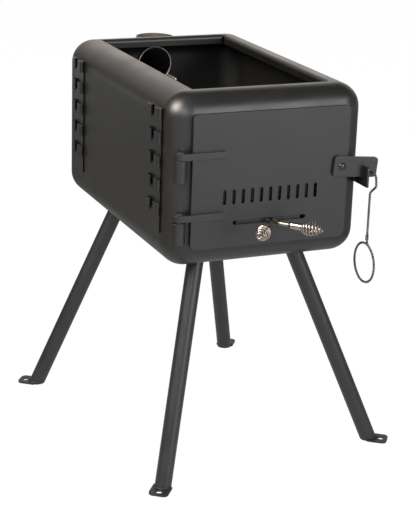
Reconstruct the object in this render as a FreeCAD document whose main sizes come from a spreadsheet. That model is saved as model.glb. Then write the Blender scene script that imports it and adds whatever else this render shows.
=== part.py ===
import FreeCAD, Part
import math
import os
import re

import Sketcher

from FreeCAD import Placement, Rotation, Vector

# An outdoor wood-burning stove: a rounded steel firebox with an open top and a hinged front door,
# on four splayed tube legs. It stands on Z = 0, its door faces -Y, and X = Y = 0 lies under the
# middle of the firebox. Millimetres and degrees.

SIZES = {
    # Firebox shell
    "box_width": 310,
    "box_depth": 469,
    "box_height": 258,
    "edge_radius": 36.5,
    "wall": 3,
    "rim_side": 46.5,
    "rim_end": 44.5,
    "lip_height": 14.5,
    "lip_relief": 2,
    "lip_bend": 6,
    # Legs, spigots and feet
    "leg_height": 335,
    "leg_radius": 12.7,
    "leg_wall": 2,
    "leg_inset_x": 76.5,
    "leg_inset_y": 75,
    "splay_x": 112.5,
    "splay_y": 64,
    "feet_turn": 7.8,
    "spigot_length": 45,
    "spigot_slack": 0.2,
    "foot_width": 30,
    "foot_reach": 30.5,
    "foot_thick": 3,
    "foot_corner": 8,
    "foot_hole_out": 20,
    "foot_hole_radius": 5.25,
    # Door, hatch and liner
    "hatch_corner": 8,
    "frame_band": 10,
    "frame_thick": 3,
    "door_margin": 31,
    "door_sill": 32.5,
    "door_head": 26,
    "door_lap_side": 22,
    "door_lap_low": 16.5,
    "door_lap_top": 21,
    "door_thick": 4,
    "door_corner": 9,
    "door_seat_gap": 0.2,
    "vent_width": 5,
    "vent_height": 22,
    "vent_pitch": 14.5,
    "vent_z": 108,
    "liner_inset": 10,
    "liner_head": 11,
    "liner_sill": 94,
    "liner_thick": 2,
    "liner_corner": 6,
    "standoff_length": 15,
    "standoff_radius": 5,
    "standoff_inset": 12,
    # Hinges
    "hinge_reach": 18,
    "barrel_radius": 10,
    "barrel_height": 32,
    "hinge_upper": 167.5,
    "hinge_lower": 76,
    "play_upper": 0.3,
    "play_lower": 1.6,
    "pin_radius": 5,
    "pin_slack": 0.05,
    "pin_depth": 28,
    "knuckle_radius": 9,
    "knuckle_slack": 0.02,
    "strap_height": 9.6,
    "strap_length": 66.5,
    "strap_thick": 5.5,
    "weld_gap": 0.2,
    # Latch, keeper and pull
    "latch_inset": 11.5,
    "latch_z": 141.5,
    "bar_height": 30.5,
    "bar_tail": 13.8,
    "bar_reach": 58.7,
    "bar_thick": 4,
    "bar_corner": 6,
    "bar_droop": 5.1,
    "bar_standoff": 1,
    "rivet_radius": 4,
    "rivet_slack": 0.05,
    "rivet_head_radius": 5.8,
    "rivet_head_height": 3.2,
    "rivet_collar_radius": 6.5,
    "keeper_inset": 7,
    "keeper_thick": 3,
    "keeper_arm": 12.9,
    "keeper_slack": 0.3,
    "prong_height": 18,
    "prong_width": 13,
    "prong_corner": 5,
    "prong_gap": 0.5,
    "post_set": 6.5,
    "pull_hole_x": 51.6,
    "pull_hole_z": 8.7,
    "pull_hole_radius": 2,
    "pull_radius": 1.6,
    "pull_back": 5.8,
    "pull_hook": 7.5,
    "pull_front": 14,
    "pull_bulge": 17.5,
    "pull_bulge_drop": 17.5,
    "pull_neck_drop": 31,
    "pull_bend": 7,
    "pull_hook_bend": 2.6,
    "ring_radius": 30.2,
    "ring_drop": 142,
    "ring_bend": 10,
    "ring_join": 20,
    "ring_gap": 2,
    # Air slot, shutters, rods and coil handles
    "slot_length": 117,
    "slot_height": 6.6,
    "slot_z": 69,
    "shutter_height": 22,
    "shutter_thick": 3,
    "shutter_far": 51.5,
    "shutter_meet": 0.3,
    "shutter_slack": 0.2,
    "rail_inset": 3,
    "rail_foot": 4.5,
    "rail_lip": 3.5,
    "rail_thick": 3,
    "rod_radius": 3,
    "rod_spread": 5,
    "rod_out": 20.5,
    "rod_splay": 41,
    "rod_bend": 12,
    "rod_arm": 17,
    "collar_radius": 4.8,
    "collar_length": 2,
    "tang_radius": 2,
    "coil_wire": 1.2,
    "neck_mean": 3.4,
    "neck_pitch": 2.95,
    "coil_pitch": 4.5,
    "coil_swell": 6.6,
    "tip_mean": 2.6,
    # Flue
    "flue_x": 15,
    "flue_z": 206.4,
    "flue_bore": 30.5,
    "flue_wall": 2,
    "flue_gap": 0.4,
    "flue_top": 246,
    "flue_foot": 150,
    "flue_throat": 28,
    "stub_radius": 30.2,
    "stub_wall": 2.9,
    "stub_inside": 3.5,
    "stub_slack": 0.1,
    "duct_side": 4,
    "duct_head": 4,
    # Hanger strips
    "strip_width": 44,
    "strip_top": 234.5,
    "strip_length": 184,
    "strip_thick": 2,
    "strip_front_inset": 54,
    "strip_rear_inset": 72.5,
    "tab_pitch": 34.7,
    "tab_height": 17.5,
    "tab_reach": 7,
    "tab_flat": 0.6,
    "tab_lip": 15.5,
    # Fire grate
    "grate_length": 330,
    "grate_bar_width": 7,
    "grate_bar_height": 9,
    "grate_pitch": 18.5,
    "tie_width": 14,
    "tie_height": 6,
    "tie_inset": 35,
    "grate_lift": 26,
    "grate_rail_x": 66,
    "grate_rail_thick": 5,
    # How far a cutting shape runs past what it cuts
    "cut_over": 2,
}

VENT_COUNT = 11
TAB_COUNT = 5
GRATE_BARS = 11
NECK_TURNS = 4
COIL_TURNS = 7
LEAD_IN_TURNS = 0.2
MIN_SPRING_GAP = 0.4

doc = FreeCAD.newDocument("outdoor_stove")
sheet = doc.addObject("Spreadsheet::Sheet", "dims")
for row, (alias, number) in enumerate(SIZES.items(), start=1):
    sheet.set(f"A{row}", alias)
    sheet.set(f"B{row}", str(number))
    sheet.setAlias(f"B{row}", alias)
doc.recompute()

# Places that several pieces share, written as formulas of the sheet's aliases
CORNER_X = "(box_width / 2 - edge_radius)"
CORNER_Y = "(box_depth / 2 - edge_radius)"
LEFT = "(-box_width / 2)"
FRONT = "(-box_depth / 2)"
BACK = "(box_depth / 2)"
BOTTOM = "leg_height"
TOP = "(leg_height + box_height)"
MOUTH_X = "(box_width / 2 - rim_side)"
MOUTH_Y = "(box_depth / 2 - rim_end)"
DOOR_HALF = "(box_width / 2 - door_margin)"
DOOR_LOW = f"({BOTTOM} + door_sill)"
DOOR_HIGH = f"({TOP} - door_head)"
HATCH_HALF = f"({DOOR_HALF} - door_lap_side)"
HATCH_LOW = f"({DOOR_LOW} + door_lap_low)"
HATCH_HIGH = f"({DOOR_HIGH} - door_lap_top)"
FRAME_FRONT = f"({FRONT} - frame_thick)"
DOOR_BACK = f"({FRAME_FRONT} - door_seat_gap)"
DOOR_FRONT = f"({DOOR_BACK} - door_thick)"
HINGE_X = f"(-{DOOR_HALF} - hinge_reach)"
HINGE_ROUND = "(edge_radius + weld_gap + barrel_radius)"
HINGE_Y = f"(-{CORNER_Y} - sqrt({HINGE_ROUND} ^ 2 - ({HINGE_X} + {CORNER_X}) ^ 2))"
SLOT_Z = f"({BOTTOM} + slot_z)"
SHUTTER_FRONT = f"({DOOR_BACK} + shutter_slack)"
SHUTTER_BACK = f"({SHUTTER_FRONT} + shutter_thick)"
LATCH_X = f"({DOOR_HALF} - latch_inset)"
LATCH_Z = f"({BOTTOM} + latch_z)"
BAR_BACK = f"({DOOR_FRONT} - bar_standoff)"
BAR_FRONT = f"({BAR_BACK} - bar_thick)"
PULL_X = f"({LATCH_X} + pull_hole_x * cos(bar_droop) - pull_hole_z * sin(bar_droop))"
PULL_Z = f"({LATCH_Z} - pull_hole_x * sin(bar_droop) - pull_hole_z * cos(bar_droop))"
KEEPER_NEAR = "(box_width / 2 - keeper_inset)"
KEEPER_FAR = f"({KEEPER_NEAR} + keeper_thick)"
NOTCH_FLOOR = (
    f"({LATCH_Z} - ({KEEPER_FAR} - {LATCH_X}) * tan(bar_droop)"
    " - bar_height / 2 / cos(bar_droop) - keeper_slack)"
)
PRONG_BACK = f"({BAR_FRONT} - prong_gap)"
PRONG_FRONT = f"({PRONG_BACK} - prong_width)"
FLUE_RADIUS = "(flue_bore + flue_wall)"
FLUE_Y = f"({BACK} + flue_gap + {FLUE_RADIUS})"
FLUE_Z = f"({BOTTOM} + flue_z)"
GRATE_Z = f"({BOTTOM} + wall + grate_lift)"

AXIS_TURN = {
    "X": Rotation(Vector(0, 1, 0), 90),
    "Y": Rotation(Vector(1, 0, 0), -90),
    "Z": Rotation(),
}
AXIS_DIRECTION = {"X": Vector(1, 0, 0), "Y": Vector(0, 1, 0), "Z": Vector(0, 0, 1)}
nodes = []


def ref(formula):
    """A formula with each alias turned into a reference to the sheet."""
    return re.sub(r"[a-z][a-z_0-9]*", lambda m: "dims." + m[0] if m[0] in SIZES else m[0], str(formula))


def bind(thing, **formulas):
    """Binds properties to formulas; a double underscore stands for a dot in the property's path."""
    for path, formula in formulas.items():
        thing.setExpression(path.replace("__", "."), ref(formula))


def seat(thing, place):
    """Binds the base point of a placement to three formulas."""
    for axis, formula in zip("xyz", place):
        thing.setExpression("Placement.Base." + axis, ref(formula))


def block(name, low, high):
    """A plain box between two corners."""
    thing = doc.addObject("Part::Box", name)
    bind(
        thing,
        Length=f"({high[0]}) - ({low[0]})",
        Width=f"({high[1]}) - ({low[1]})",
        Height=f"({high[2]}) - ({low[2]})",
    )
    seat(thing, low)
    return thing


def rod(name, radius, start, length, axis="Z"):
    """A cylinder that runs from start along +X, +Y or +Z."""
    thing = doc.addObject("Part::Cylinder", name)
    thing.Placement = Placement(Vector(), AXIS_TURN[axis])
    bind(thing, Radius=radius, Height=length)
    seat(thing, start)
    return thing


def rounded_block(name, low, high, radius, axis=None, place=None):
    """A box whose edges along one axis, or all edges, are rounded; place moves its own frame."""
    body = doc.addObject("PartDesign::Body", name)
    core = body.newObject("PartDesign::AdditiveBox", name + "_core")
    bind(
        core,
        Length=f"({high[0]}) - ({low[0]})",
        Width=f"({high[1]}) - ({low[1]})",
        Height=f"({high[2]}) - ({low[2]})",
    )
    seat(core, low)
    doc.recompute()
    picked = []
    for number, edge in enumerate(core.Shape.Edges, start=1):
        along = edge.tangentAt(edge.FirstParameter)
        if axis is None or abs(along.dot(AXIS_DIRECTION[axis])) > 0.5:
            picked.append(f"Edge{number}")
    fillet = body.newObject("PartDesign::Fillet", name + "_round")
    fillet.Base = (core, picked)
    bind(fillet, Radius=radius)
    if place:
        seat(body, place)
    return body


def fuse(name, *pieces):
    """One solid from several that overlap or share faces."""
    thing = doc.addObject("Part::MultiFuse", name)
    thing.Shapes = list(pieces)
    thing.Refine = True
    return thing


def cut(name, base, *tools):
    """The base with every tool taken away."""
    thing = doc.addObject("Part::Cut", name)
    thing.Base = base
    thing.Tool = tools[0] if len(tools) == 1 else fuse(name + "_tools", *tools)
    thing.Refine = True
    return thing


def common(name, first, second):
    """What two solids share."""
    thing = doc.addObject("Part::Common", name)
    thing.Base = first
    thing.Tool = second
    return thing


def node(label, thing):
    """Names a finished sub-part."""
    thing.Label = label
    nodes.append(thing)
    return thing


def group(label, pieces):
    """One node that holds several like solids."""
    thing = doc.addObject("Part::Compound", label + "_group")
    thing.Links = pieces
    node(label, thing)


def size(alias):
    """The number in a cell of the sheet."""
    return float(getattr(sheet, alias))


def measured(formula):
    """The value of a formula, read through a scratch property that is removed again."""
    probe = doc.addObject("App::FeaturePython", "probe")
    probe.addProperty("App::PropertyFloat", "reading")
    bind(probe, reading=formula)
    doc.recompute()
    reading = probe.reading
    doc.removeObject(probe.Name)
    return reading


def origin_plane(body, role):
    """One of a body's own origin planes."""
    return next(item for item in body.Origin.OriginFeatures if item.Role == role)


def front_sketch(body, name):
    """A sketch on the body's XZ plane: sketch x is X, sketch y is Z, and its normal is -Y."""
    sketch = body.newObject("Sketcher::SketchObject", name)
    sketch.AttachmentSupport = [(origin_plane(body, "XZ_Plane"), "")]
    sketch.MapMode = "FlatFace"
    return sketch


def beside_mouth(name, axis, sign, span, reach, heights):
    """A block on one side of the mouth: span counts outwards along the axis, reach to both ends."""
    near, far = span
    across = (near, far) if sign > 0 else (f"-({far})", f"-({near})")
    along = (f"-{reach}", reach)
    ends = zip(across, along) if axis == "X" else zip(along, across)
    low, high = ((x, y, z) for (x, y), z in zip(ends, heights))
    return block(name, low, high)


def along_mouth(name, axis, sign, out, reach, radius):
    """The cylinder about which one of the mouth's lips is folded."""
    place = out if sign > 0 else f"-{out}"
    start = f"-{reach} - cut_over"
    length = f"2 * ({reach} + cut_over)"
    height = f"{TOP} - lip_bend"
    if axis == "X":
        return rod(name, radius, (place, start, height), length, "Y")
    return rod(name, radius, (start, place, height), length, "X")


def make_firebox():
    """The shell: a hollow rounded box with its mouth, four folded lips, the hatch and the flue hole."""
    outer = rounded_block(
        "shell_outer",
        (LEFT, FRONT, BOTTOM),
        ("box_width / 2", BACK, TOP),
        "edge_radius",
    )
    inner = rounded_block(
        "shell_inner",
        (f"{LEFT} + wall", f"{FRONT} + wall", f"{BOTTOM} + wall"),
        ("box_width / 2 - wall", f"{BACK} - wall", f"{TOP} - wall"),
        "edge_radius - wall",
    )
    mouth = block(
        "shell_mouth",
        (f"-{MOUTH_X}", f"-{MOUTH_Y}", f"{TOP} - wall - cut_over"),
        (MOUTH_X, MOUTH_Y, f"{TOP} + cut_over"),
    )
    hatch = rounded_block(
        "shell_hatch",
        (f"-{HATCH_HALF}", f"{FRONT} - cut_over", HATCH_LOW),
        (HATCH_HALF, f"{FRONT} + wall + cut_over", HATCH_HIGH),
        "hatch_corner",
        "Y",
    )
    flue_hole = rod(
        "shell_flue_hole",
        "stub_radius + stub_slack",
        ("0", CORNER_Y, FLUE_Z),
        "edge_radius + cut_over",
        "Y",
    )
    hollow = cut("shell_hollow", outer, inner, mouth, hatch, flue_hole)
    lips = []
    corners = []
    for side, axis, sign in (("left", "X", -1), ("right", "X", 1), ("front", "Y", -1), ("back", "Y", 1)):
        edge, reach = (MOUTH_X, MOUTH_Y) if axis == "X" else (MOUTH_Y, MOUTH_X)
        short = f"({reach} - lip_relief)"
        bend = f"({edge} + lip_bend)"
        low = f"{TOP} - lip_bend"
        lips.append(
            beside_mouth(
                f"lip_{side}", axis, sign, (edge, f"{edge} + wall"), short, (f"{TOP} - lip_height", low)
            )
        )
        turned = beside_mouth(f"lip_{side}_turn", axis, sign, (edge, bend), short, (low, TOP))
        hollow_round = along_mouth(f"lip_{side}_hollow", axis, sign, bend, reach, "lip_bend - wall")
        lips.append(cut(f"lip_{side}_bend", turned, hollow_round))
        spare = beside_mouth(
            f"lip_{side}_spare", axis, sign, (f"{edge} - cut_over", bend), reach, (low, f"{TOP} + cut_over")
        )
        full_round = along_mouth(f"lip_{side}_round", axis, sign, bend, reach, "lip_bend")
        corners.append(cut(f"lip_{side}_corner", spare, full_round))
    folded = fuse("firebox_folded", hollow, *lips)
    node("firebox_shell", cut("firebox", folded, *corners))


def make_door_frame():
    """The flat ring round the hatch on which the door closes."""
    outer = rounded_block(
        "frame_outer",
        (f"-{HATCH_HALF} - frame_band", FRAME_FRONT, f"{HATCH_LOW} - frame_band"),
        (f"{HATCH_HALF} + frame_band", FRONT, f"{HATCH_HIGH} + frame_band"),
        "hatch_corner",
        "Y",
    )
    inner = rounded_block(
        "frame_inner",
        (f"-{HATCH_HALF}", f"{FRAME_FRONT} - cut_over", HATCH_LOW),
        (HATCH_HALF, f"{FRONT} + cut_over", HATCH_HIGH),
        "hatch_corner",
        "Y",
    )
    node("door_frame", cut("frame", outer, inner))


def make_flue():
    """The stub through the back wall, the duct behind it and the upright socket with its closed foot."""
    inside = f"({BACK} - wall - stub_inside)"
    reach = "(wall + stub_inside)"
    stub_outer = rod("stub_outer", "stub_radius", ("0", inside, FLUE_Z), reach, "Y")
    stub_bore = rod(
        "stub_bore",
        "stub_radius - stub_wall",
        ("0", f"{inside} - cut_over", FLUE_Z),
        f"{reach} + 2 * cut_over",
        "Y",
    )
    node("flue_stub", cut("stub", stub_outer, stub_bore))
    left = "(-stub_radius - duct_side - flue_wall)"
    right = f"(flue_x + {FLUE_RADIUS} + flue_wall)"
    half = "(stub_radius + duct_head)"
    low = f"({FLUE_Z} - {half})"
    high = f"({FLUE_Z} + {half})"
    duct_outer = block("duct_outer", (left, CORNER_Y, low), (right, FLUE_Y, high))
    duct_inner = block(
        "duct_inner",
        (f"{left} + flue_wall", f"{CORNER_Y} - cut_over", f"{low} + flue_wall"),
        (f"{right} - flue_wall", f"{FLUE_Y} - flue_wall", f"{high} - flue_wall"),
    )
    roll_z = f"({TOP} - edge_radius)"
    wall_roll = rod(
        "duct_wall_roll",
        "edge_radius + weld_gap",
        (f"{left} - cut_over", CORNER_Y, roll_z),
        f"{right} - {left} + 2 * cut_over",
        "X",
    )
    wall_flat = block(
        "duct_wall_flat",
        (f"{left} - cut_over", f"{CORNER_Y} - cut_over", f"{low} - cut_over"),
        (f"{right} + cut_over", f"{BACK} + weld_gap", roll_z),
    )
    seat_round = rod(
        "duct_seat",
        f"{FLUE_RADIUS} + stub_slack",
        ("flue_x", FLUE_Y, f"{BOTTOM} + flue_foot - cut_over"),
        "flue_top - flue_foot + 2 * cut_over",
    )
    node("flue_duct", cut("duct", duct_outer, duct_inner, wall_roll, wall_flat, seat_round))
    foot = ("flue_x", FLUE_Y, f"{BOTTOM} + flue_foot")
    tube = rod("socket_outer", FLUE_RADIUS, foot, "flue_top - flue_foot")
    bore = rod(
        "socket_bore",
        "flue_bore",
        ("flue_x", FLUE_Y, f"{BOTTOM} + flue_foot - cut_over"),
        "flue_top - flue_foot + 2 * cut_over",
    )
    side_hole = rod(
        "socket_side_hole",
        "flue_throat",
        ("flue_x", f"{FLUE_Y} - {FLUE_RADIUS} - cut_over", FLUE_Z),
        f"{FLUE_RADIUS} + cut_over",
        "Y",
    )
    node("flue_socket", cut("socket", tube, bore, side_hole))
    base = ("flue_x", FLUE_Y, f"{BOTTOM} + flue_foot - flue_wall")
    node("flue_base_plate", rod("flue_base", FLUE_RADIUS, base, "flue_wall"))


def make_hanger_strip(label, middle):
    """A folded channel on the left wall whose rounded lips are cut into a column of tabs."""
    top = f"({BOTTOM} + strip_top)"
    foot = f"({top} - strip_length)"
    near = f"({middle} - strip_width / 2)"
    far = f"({middle} + strip_width / 2)"
    face = f"({LEFT} - strip_thick)"
    out = f"({LEFT} - tab_reach)"
    fold = "((tab_reach - tab_flat) / 2)"
    outer = rounded_block(label + "_outer", (out, near, foot), (LEFT, far, top), fold, "Z")
    hollow = rounded_block(
        label + "_hollow",
        (f"{out} + strip_thick", f"{near} + strip_thick", f"{foot} - cut_over"),
        (face, f"{far} - strip_thick", f"{top} + cut_over"),
        f"{fold} - strip_thick",
        "Z",
    )
    mouth = block(
        label + "_mouth",
        (f"{out} - cut_over", f"{near} + tab_lip", f"{foot} - cut_over"),
        (face, f"{far} - tab_lip", f"{top} + cut_over"),
    )
    windows = []
    for step in range(TAB_COUNT):
        ceiling = f"({top} - {step} * tab_pitch - tab_height)"
        floor = f"({top} - {step + 1} * tab_pitch)" if step < TAB_COUNT - 1 else f"({foot} - cut_over)"
        windows.append(
            block(
                f"{label}_window_{step}",
                (f"{out} - cut_over", f"{near} - cut_over", floor),
                (face, f"{far} + cut_over", ceiling),
            )
        )
    node(label, cut(label + "_cut", outer, hollow, mouth, *windows))


def make_leg(name, side_x, side_y):
    """One tube leg on its spigot, cut level at both ends, with its foot tab."""
    top_x = f"({side_x} * (box_width / 2 - leg_inset_x))"
    top_y = f"({side_y} * (box_depth / 2 - leg_inset_y))"
    foot_x = f"({top_x} + {side_x} * splay_x)"
    foot_y = f"({top_y} + {side_y} * splay_y)"
    turn_x = f"({foot_x} * cos(feet_turn) - {foot_y} * sin(feet_turn))"
    turn_y = f"({foot_x} * sin(feet_turn) + {foot_y} * cos(feet_turn))"
    rise_x = f"({top_x} - {turn_x})"
    rise_y = f"({top_y} - {turn_y})"
    lean_length = f"sqrt({rise_x} ^ 2 + {rise_y} ^ 2 + leg_height ^ 2)"
    spare = "(2 * leg_radius)"

    def leaning(part, radius, below, above):
        """A cylinder on the leg's axis, from below the floor end to above the box end."""
        thing = doc.addObject("Part::Cylinder", f"{part}_{name}")
        bind(
            thing,
            Radius=radius,
            Height=f"{lean_length} + {below} + {above}",
            Placement__Rotation__Yaw=f"atan2({rise_y}; {rise_x})",
            Placement__Rotation__Pitch=f"atan2(sqrt({rise_x} ^ 2 + {rise_y} ^ 2); leg_height)",
        )
        share = f"({below} / {lean_length})"
        seat(
            thing,
            (
                f"{turn_x} - {rise_x} * {share}",
                f"{turn_y} - {rise_y} * {share}",
                f"-leg_height * {share}",
            ),
        )
        return thing

    def storey(part, low, high):
        """A wide slab that trims a leaning piece level at two heights."""
        half = "(box_width + box_depth + splay_x + splay_y)"
        return block(f"{part}_{name}", (f"-{half}", f"-{half}", low), (half, half, high))

    tube = cut(
        f"leg_tube_{name}",
        leaning("leg_outer", "leg_radius", spare, spare),
        leaning("leg_bore", "leg_radius - leg_wall", f"(2 * {spare})", f"(2 * {spare})"),
    )
    leg = common(f"leg_trim_{name}", tube, storey("leg_slab", "0", BOTTOM))
    node(f"leg_{name}", leg)
    spigot = common(
        f"spigot_trim_{name}",
        leaning("spigot_bar", "leg_radius - leg_wall - spigot_slack", "0", spare),
        storey("spigot_slab", f"{BOTTOM} - spigot_length", BOTTOM),
    )
    node(f"leg_spigot_{name}", spigot)

    tab = rounded_block(
        f"foot_plate_{name}",
        ("-foot_corner", "-foot_width / 2", "0"),
        ("foot_reach", "foot_width / 2", "foot_thick"),
        "foot_corner",
        "Z",
        (turn_x, turn_y, "0"),
    )
    diagonal = math.degrees(math.atan2(side_y, side_x))
    bind(tab, Placement__Rotation__Yaw=f"{diagonal} + feet_turn")
    heading = f"({diagonal} + feet_turn)"
    hole = rod(
        f"foot_hole_{name}",
        "foot_hole_radius",
        (
            f"{turn_x} + foot_hole_out * cos({heading})",
            f"{turn_y} + foot_hole_out * sin({heading})",
            "-cut_over",
        ),
        "foot_thick + 2 * cut_over",
    )
    footprint = leaning("foot_cut", "leg_radius + weld_gap", spare, spare)
    back_half = doc.addObject("Part::Box", f"foot_back_{name}")
    bind(
        back_half,
        Length="2 * foot_corner",
        Width="2 * foot_width",
        Height="foot_thick + 2 * cut_over",
        Placement__Rotation__Yaw=heading,
    )
    seat(
        back_half,
        (
            f"{turn_x} - 2 * foot_corner * cos({heading}) + foot_width * sin({heading})",
            f"{turn_y} - 2 * foot_corner * sin({heading}) - foot_width * cos({heading})",
            "-cut_over",
        ),
    )
    node(f"foot_tab_{name}", cut(f"foot_{name}", tab, hole, footprint, back_half))


def make_hinge(name, height, play):
    """A lift-off hinge: barrel on the box, strap with its knuckle on the door, and the pin."""
    barrel_top = f"({BOTTOM} + {height})"
    barrel_foot = f"({barrel_top} - barrel_height)"
    knuckle_foot = f"({barrel_top} + {play})"
    knuckle_top = f"({knuckle_foot} + strap_height)"
    barrel = cut(
        f"barrel_cut_{name}",
        rod(f"barrel_outer_{name}", "barrel_radius", (HINGE_X, HINGE_Y, barrel_foot), "barrel_height"),
        rod(
            f"barrel_bore_{name}",
            "pin_radius + pin_slack",
            (HINGE_X, HINGE_Y, f"{barrel_top} - pin_depth - cut_over"),
            "pin_depth + 2 * cut_over",
        ),
    )
    node(f"hinge_barrel_{name}", barrel)
    strap = fuse(
        f"strap_solid_{name}",
        rod(f"knuckle_{name}", "knuckle_radius", (HINGE_X, HINGE_Y, knuckle_foot), "strap_height"),
        block(
            f"strap_neck_{name}",
            (HINGE_X, f"{DOOR_FRONT} - strap_thick", knuckle_foot),
            (f"{HINGE_X} + strap_thick", HINGE_Y, knuckle_top),
        ),
        block(
            f"strap_flat_{name}",
            (HINGE_X, f"{DOOR_FRONT} - strap_thick", knuckle_foot),
            (f"{HINGE_X} + strap_length", DOOR_FRONT, knuckle_top),
        ),
    )
    eye = rod(
        f"strap_eye_{name}",
        "pin_radius + knuckle_slack",
        (HINGE_X, HINGE_Y, f"{knuckle_foot} - cut_over"),
        "strap_height + 2 * cut_over",
    )
    node(f"hinge_strap_{name}", cut(f"strap_cut_{name}", strap, eye))
    pin_foot = f"({barrel_top} - pin_depth)"
    pin = rod(f"pin_{name}", "pin_radius", (HINGE_X, HINGE_Y, pin_foot), f"{knuckle_top} - {pin_foot}")
    node(f"hinge_pin_{name}", pin)


def add_slot(sketch, middle, length, width, upright):
    """A round-ended slot about a point (two formulas), along the sketch's x or y."""
    shift = f"({length} - {width}) / 2"
    shifts = ("0", shift) if upright else (shift, "0")
    ends = []
    for sign in "-+":
        ends.append([f"{base} {sign} {step}" for base, step in zip(middle, shifts)])
    first, last = (Vector(measured(x), measured(y), 0) for x, y in ends)
    half = size(width) / 2
    side = Vector(-half, 0, 0) if upright else Vector(0, half, 0)
    normal = Vector(0, 0, 1)
    turn = math.atan2(side.y, side.x)
    first_round = Part.ArcOfCircle(Part.Circle(first, normal, half), turn, turn + math.pi)
    last_round = Part.ArcOfCircle(Part.Circle(last, normal, half), turn + math.pi, turn + 2 * math.pi)
    near_side = Part.LineSegment(last - side, first - side)
    far_side = Part.LineSegment(first + side, last + side)
    sketch.addGeometry([first_round, near_side, last_round, far_side], False)
    for one, one_end, other, other_end in ((0, 2, 1, 2), (1, 1, 2, 1), (2, 2, 3, 2), (3, 1, 0, 1)):
        sketch.addConstraint(Sketcher.Constraint("Tangent", one, one_end, other, other_end))
    rules = [("Radius", (0,), f"{width} / 2")]
    for geometry, place in ((0, ends[0]), (2, ends[1])):
        rules.append(("DistanceX", (-1, 1, geometry, 3), place[0]))
        rules.append(("DistanceY", (-1, 1, geometry, 3), place[1]))
    for kind, target, formula in rules:
        index = sketch.addConstraint(Sketcher.Constraint(kind, *target, measured(formula)))
        sketch.setExpression(f"Constraints[{index}]", ref(formula))


def pocket_through(body, sketch, name):
    """Cuts a sketch right through a plate that lies on the -Y side of the sketch's plane."""
    doc.recompute()
    pocket = body.newObject("PartDesign::Pocket", name)
    pocket.Profile = sketch
    pocket.Type = "ThroughAll"
    pocket.Reversed = True
    return pocket


def make_door():
    """The door plate with its air slot, a row of round-ended vents and the rivet hole."""
    plate = rounded_block(
        "door_plate_body",
        (f"-{DOOR_HALF}", "-door_thick", "door_sill"),
        (DOOR_HALF, "0", "box_height - door_head"),
        "door_corner",
        "Y",
        ("0", DOOR_BACK, BOTTOM),
    )
    slot = front_sketch(plate, "air_slot_sketch")
    add_slot(slot, ("0", "slot_z"), "slot_length", "slot_height", False)
    pocket_through(plate, slot, "air_slot")
    vent = front_sketch(plate, "vent_sketch")
    add_slot(vent, (f"-vent_pitch * {(VENT_COUNT - 1) / 2}", "vent_z"), "vent_height", "vent_width", True)
    vents = pocket_through(plate, vent, "first_vent")
    row = plate.newObject("PartDesign::LinearPattern", "vent_row")
    row.Originals = [vents]
    row.Direction = (vent, ["H_Axis"])
    row.Occurrences = VENT_COUNT
    bind(row, Length=f"vent_pitch * {VENT_COUNT - 1}")
    plate.Tip = row
    hole = rod(
        "door_rivet_hole",
        "rivet_radius + knuckle_slack",
        (LATCH_X, f"{DOOR_FRONT} - cut_over", LATCH_Z),
        "door_thick + 2 * cut_over",
        "Y",
    )
    node("door_plate", cut("door_cut", plate, hole))


def make_liner():
    """The heat shield behind the vents, on four standoffs."""
    face = f"({DOOR_BACK} + standoff_length)"
    sill = f"({BOTTOM} + liner_sill)"
    head = f"({HATCH_HIGH} - liner_head)"
    half = f"({HATCH_HALF} - liner_inset)"
    liner = rounded_block(
        "liner",
        (f"-{half}", face, sill),
        (half, f"{face} + liner_thick", head),
        "liner_corner",
        "Y",
    )
    node("door_liner", liner)
    side = f"({half} - standoff_inset)"
    posts = []
    for number, (sign, level) in enumerate(
        (
            ("-", f"{sill} + standoff_inset"),
            ("", f"{sill} + standoff_inset"),
            ("-", f"{head} - standoff_inset"),
            ("", f"{head} - standoff_inset"),
        )
    ):
        place = (f"{sign}{side}", DOOR_BACK, level)
        posts.append(rod(f"standoff_{number}", "standoff_radius", place, "standoff_length", "Y"))
    group("liner_standoffs", posts)


def make_shutters():
    """Two rails behind the door and the two plates that slide between them."""
    half = "(shutter_height / 2 + shutter_slack)"
    reach = f"({HATCH_HALF} - rail_inset)"
    back = f"({SHUTTER_BACK} + shutter_slack)"
    for name, sign in (("lower", "-"), ("upper", "+")):
        inner = f"({SLOT_Z} {sign} {half})"
        outer = f"({SLOT_Z} {sign} ({half} + rail_foot))"
        lip = f"({SLOT_Z} {sign} ({half} - rail_lip))"
        low, high = (outer, inner) if sign == "-" else (inner, outer)
        lip_low, lip_high = (outer, lip) if sign == "-" else (lip, outer)
        foot = block(
            f"rail_foot_{name}",
            (f"-{reach}", DOOR_BACK, low),
            (reach, f"{back} + rail_thick", high),
        )
        cheek = block(
            f"rail_cheek_{name}",
            (f"-{reach}", back, lip_low),
            (reach, f"{back} + rail_thick", lip_high),
        )
        node(f"shutter_rail_{name}", fuse(f"rail_{name}", foot, cheek))
    for name, low, high in (
        ("left", "-shutter_far", "-shutter_meet"),
        ("right", "shutter_meet", "shutter_far"),
    ):
        plate = block(
            f"shutter_{name}",
            (low, SHUTTER_FRONT, f"{SLOT_Z} - shutter_height / 2"),
            (high, SHUTTER_BACK, f"{SLOT_Z} + shutter_height / 2"),
        )
        node(f"shutter_plate_{name}", plate)


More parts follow.
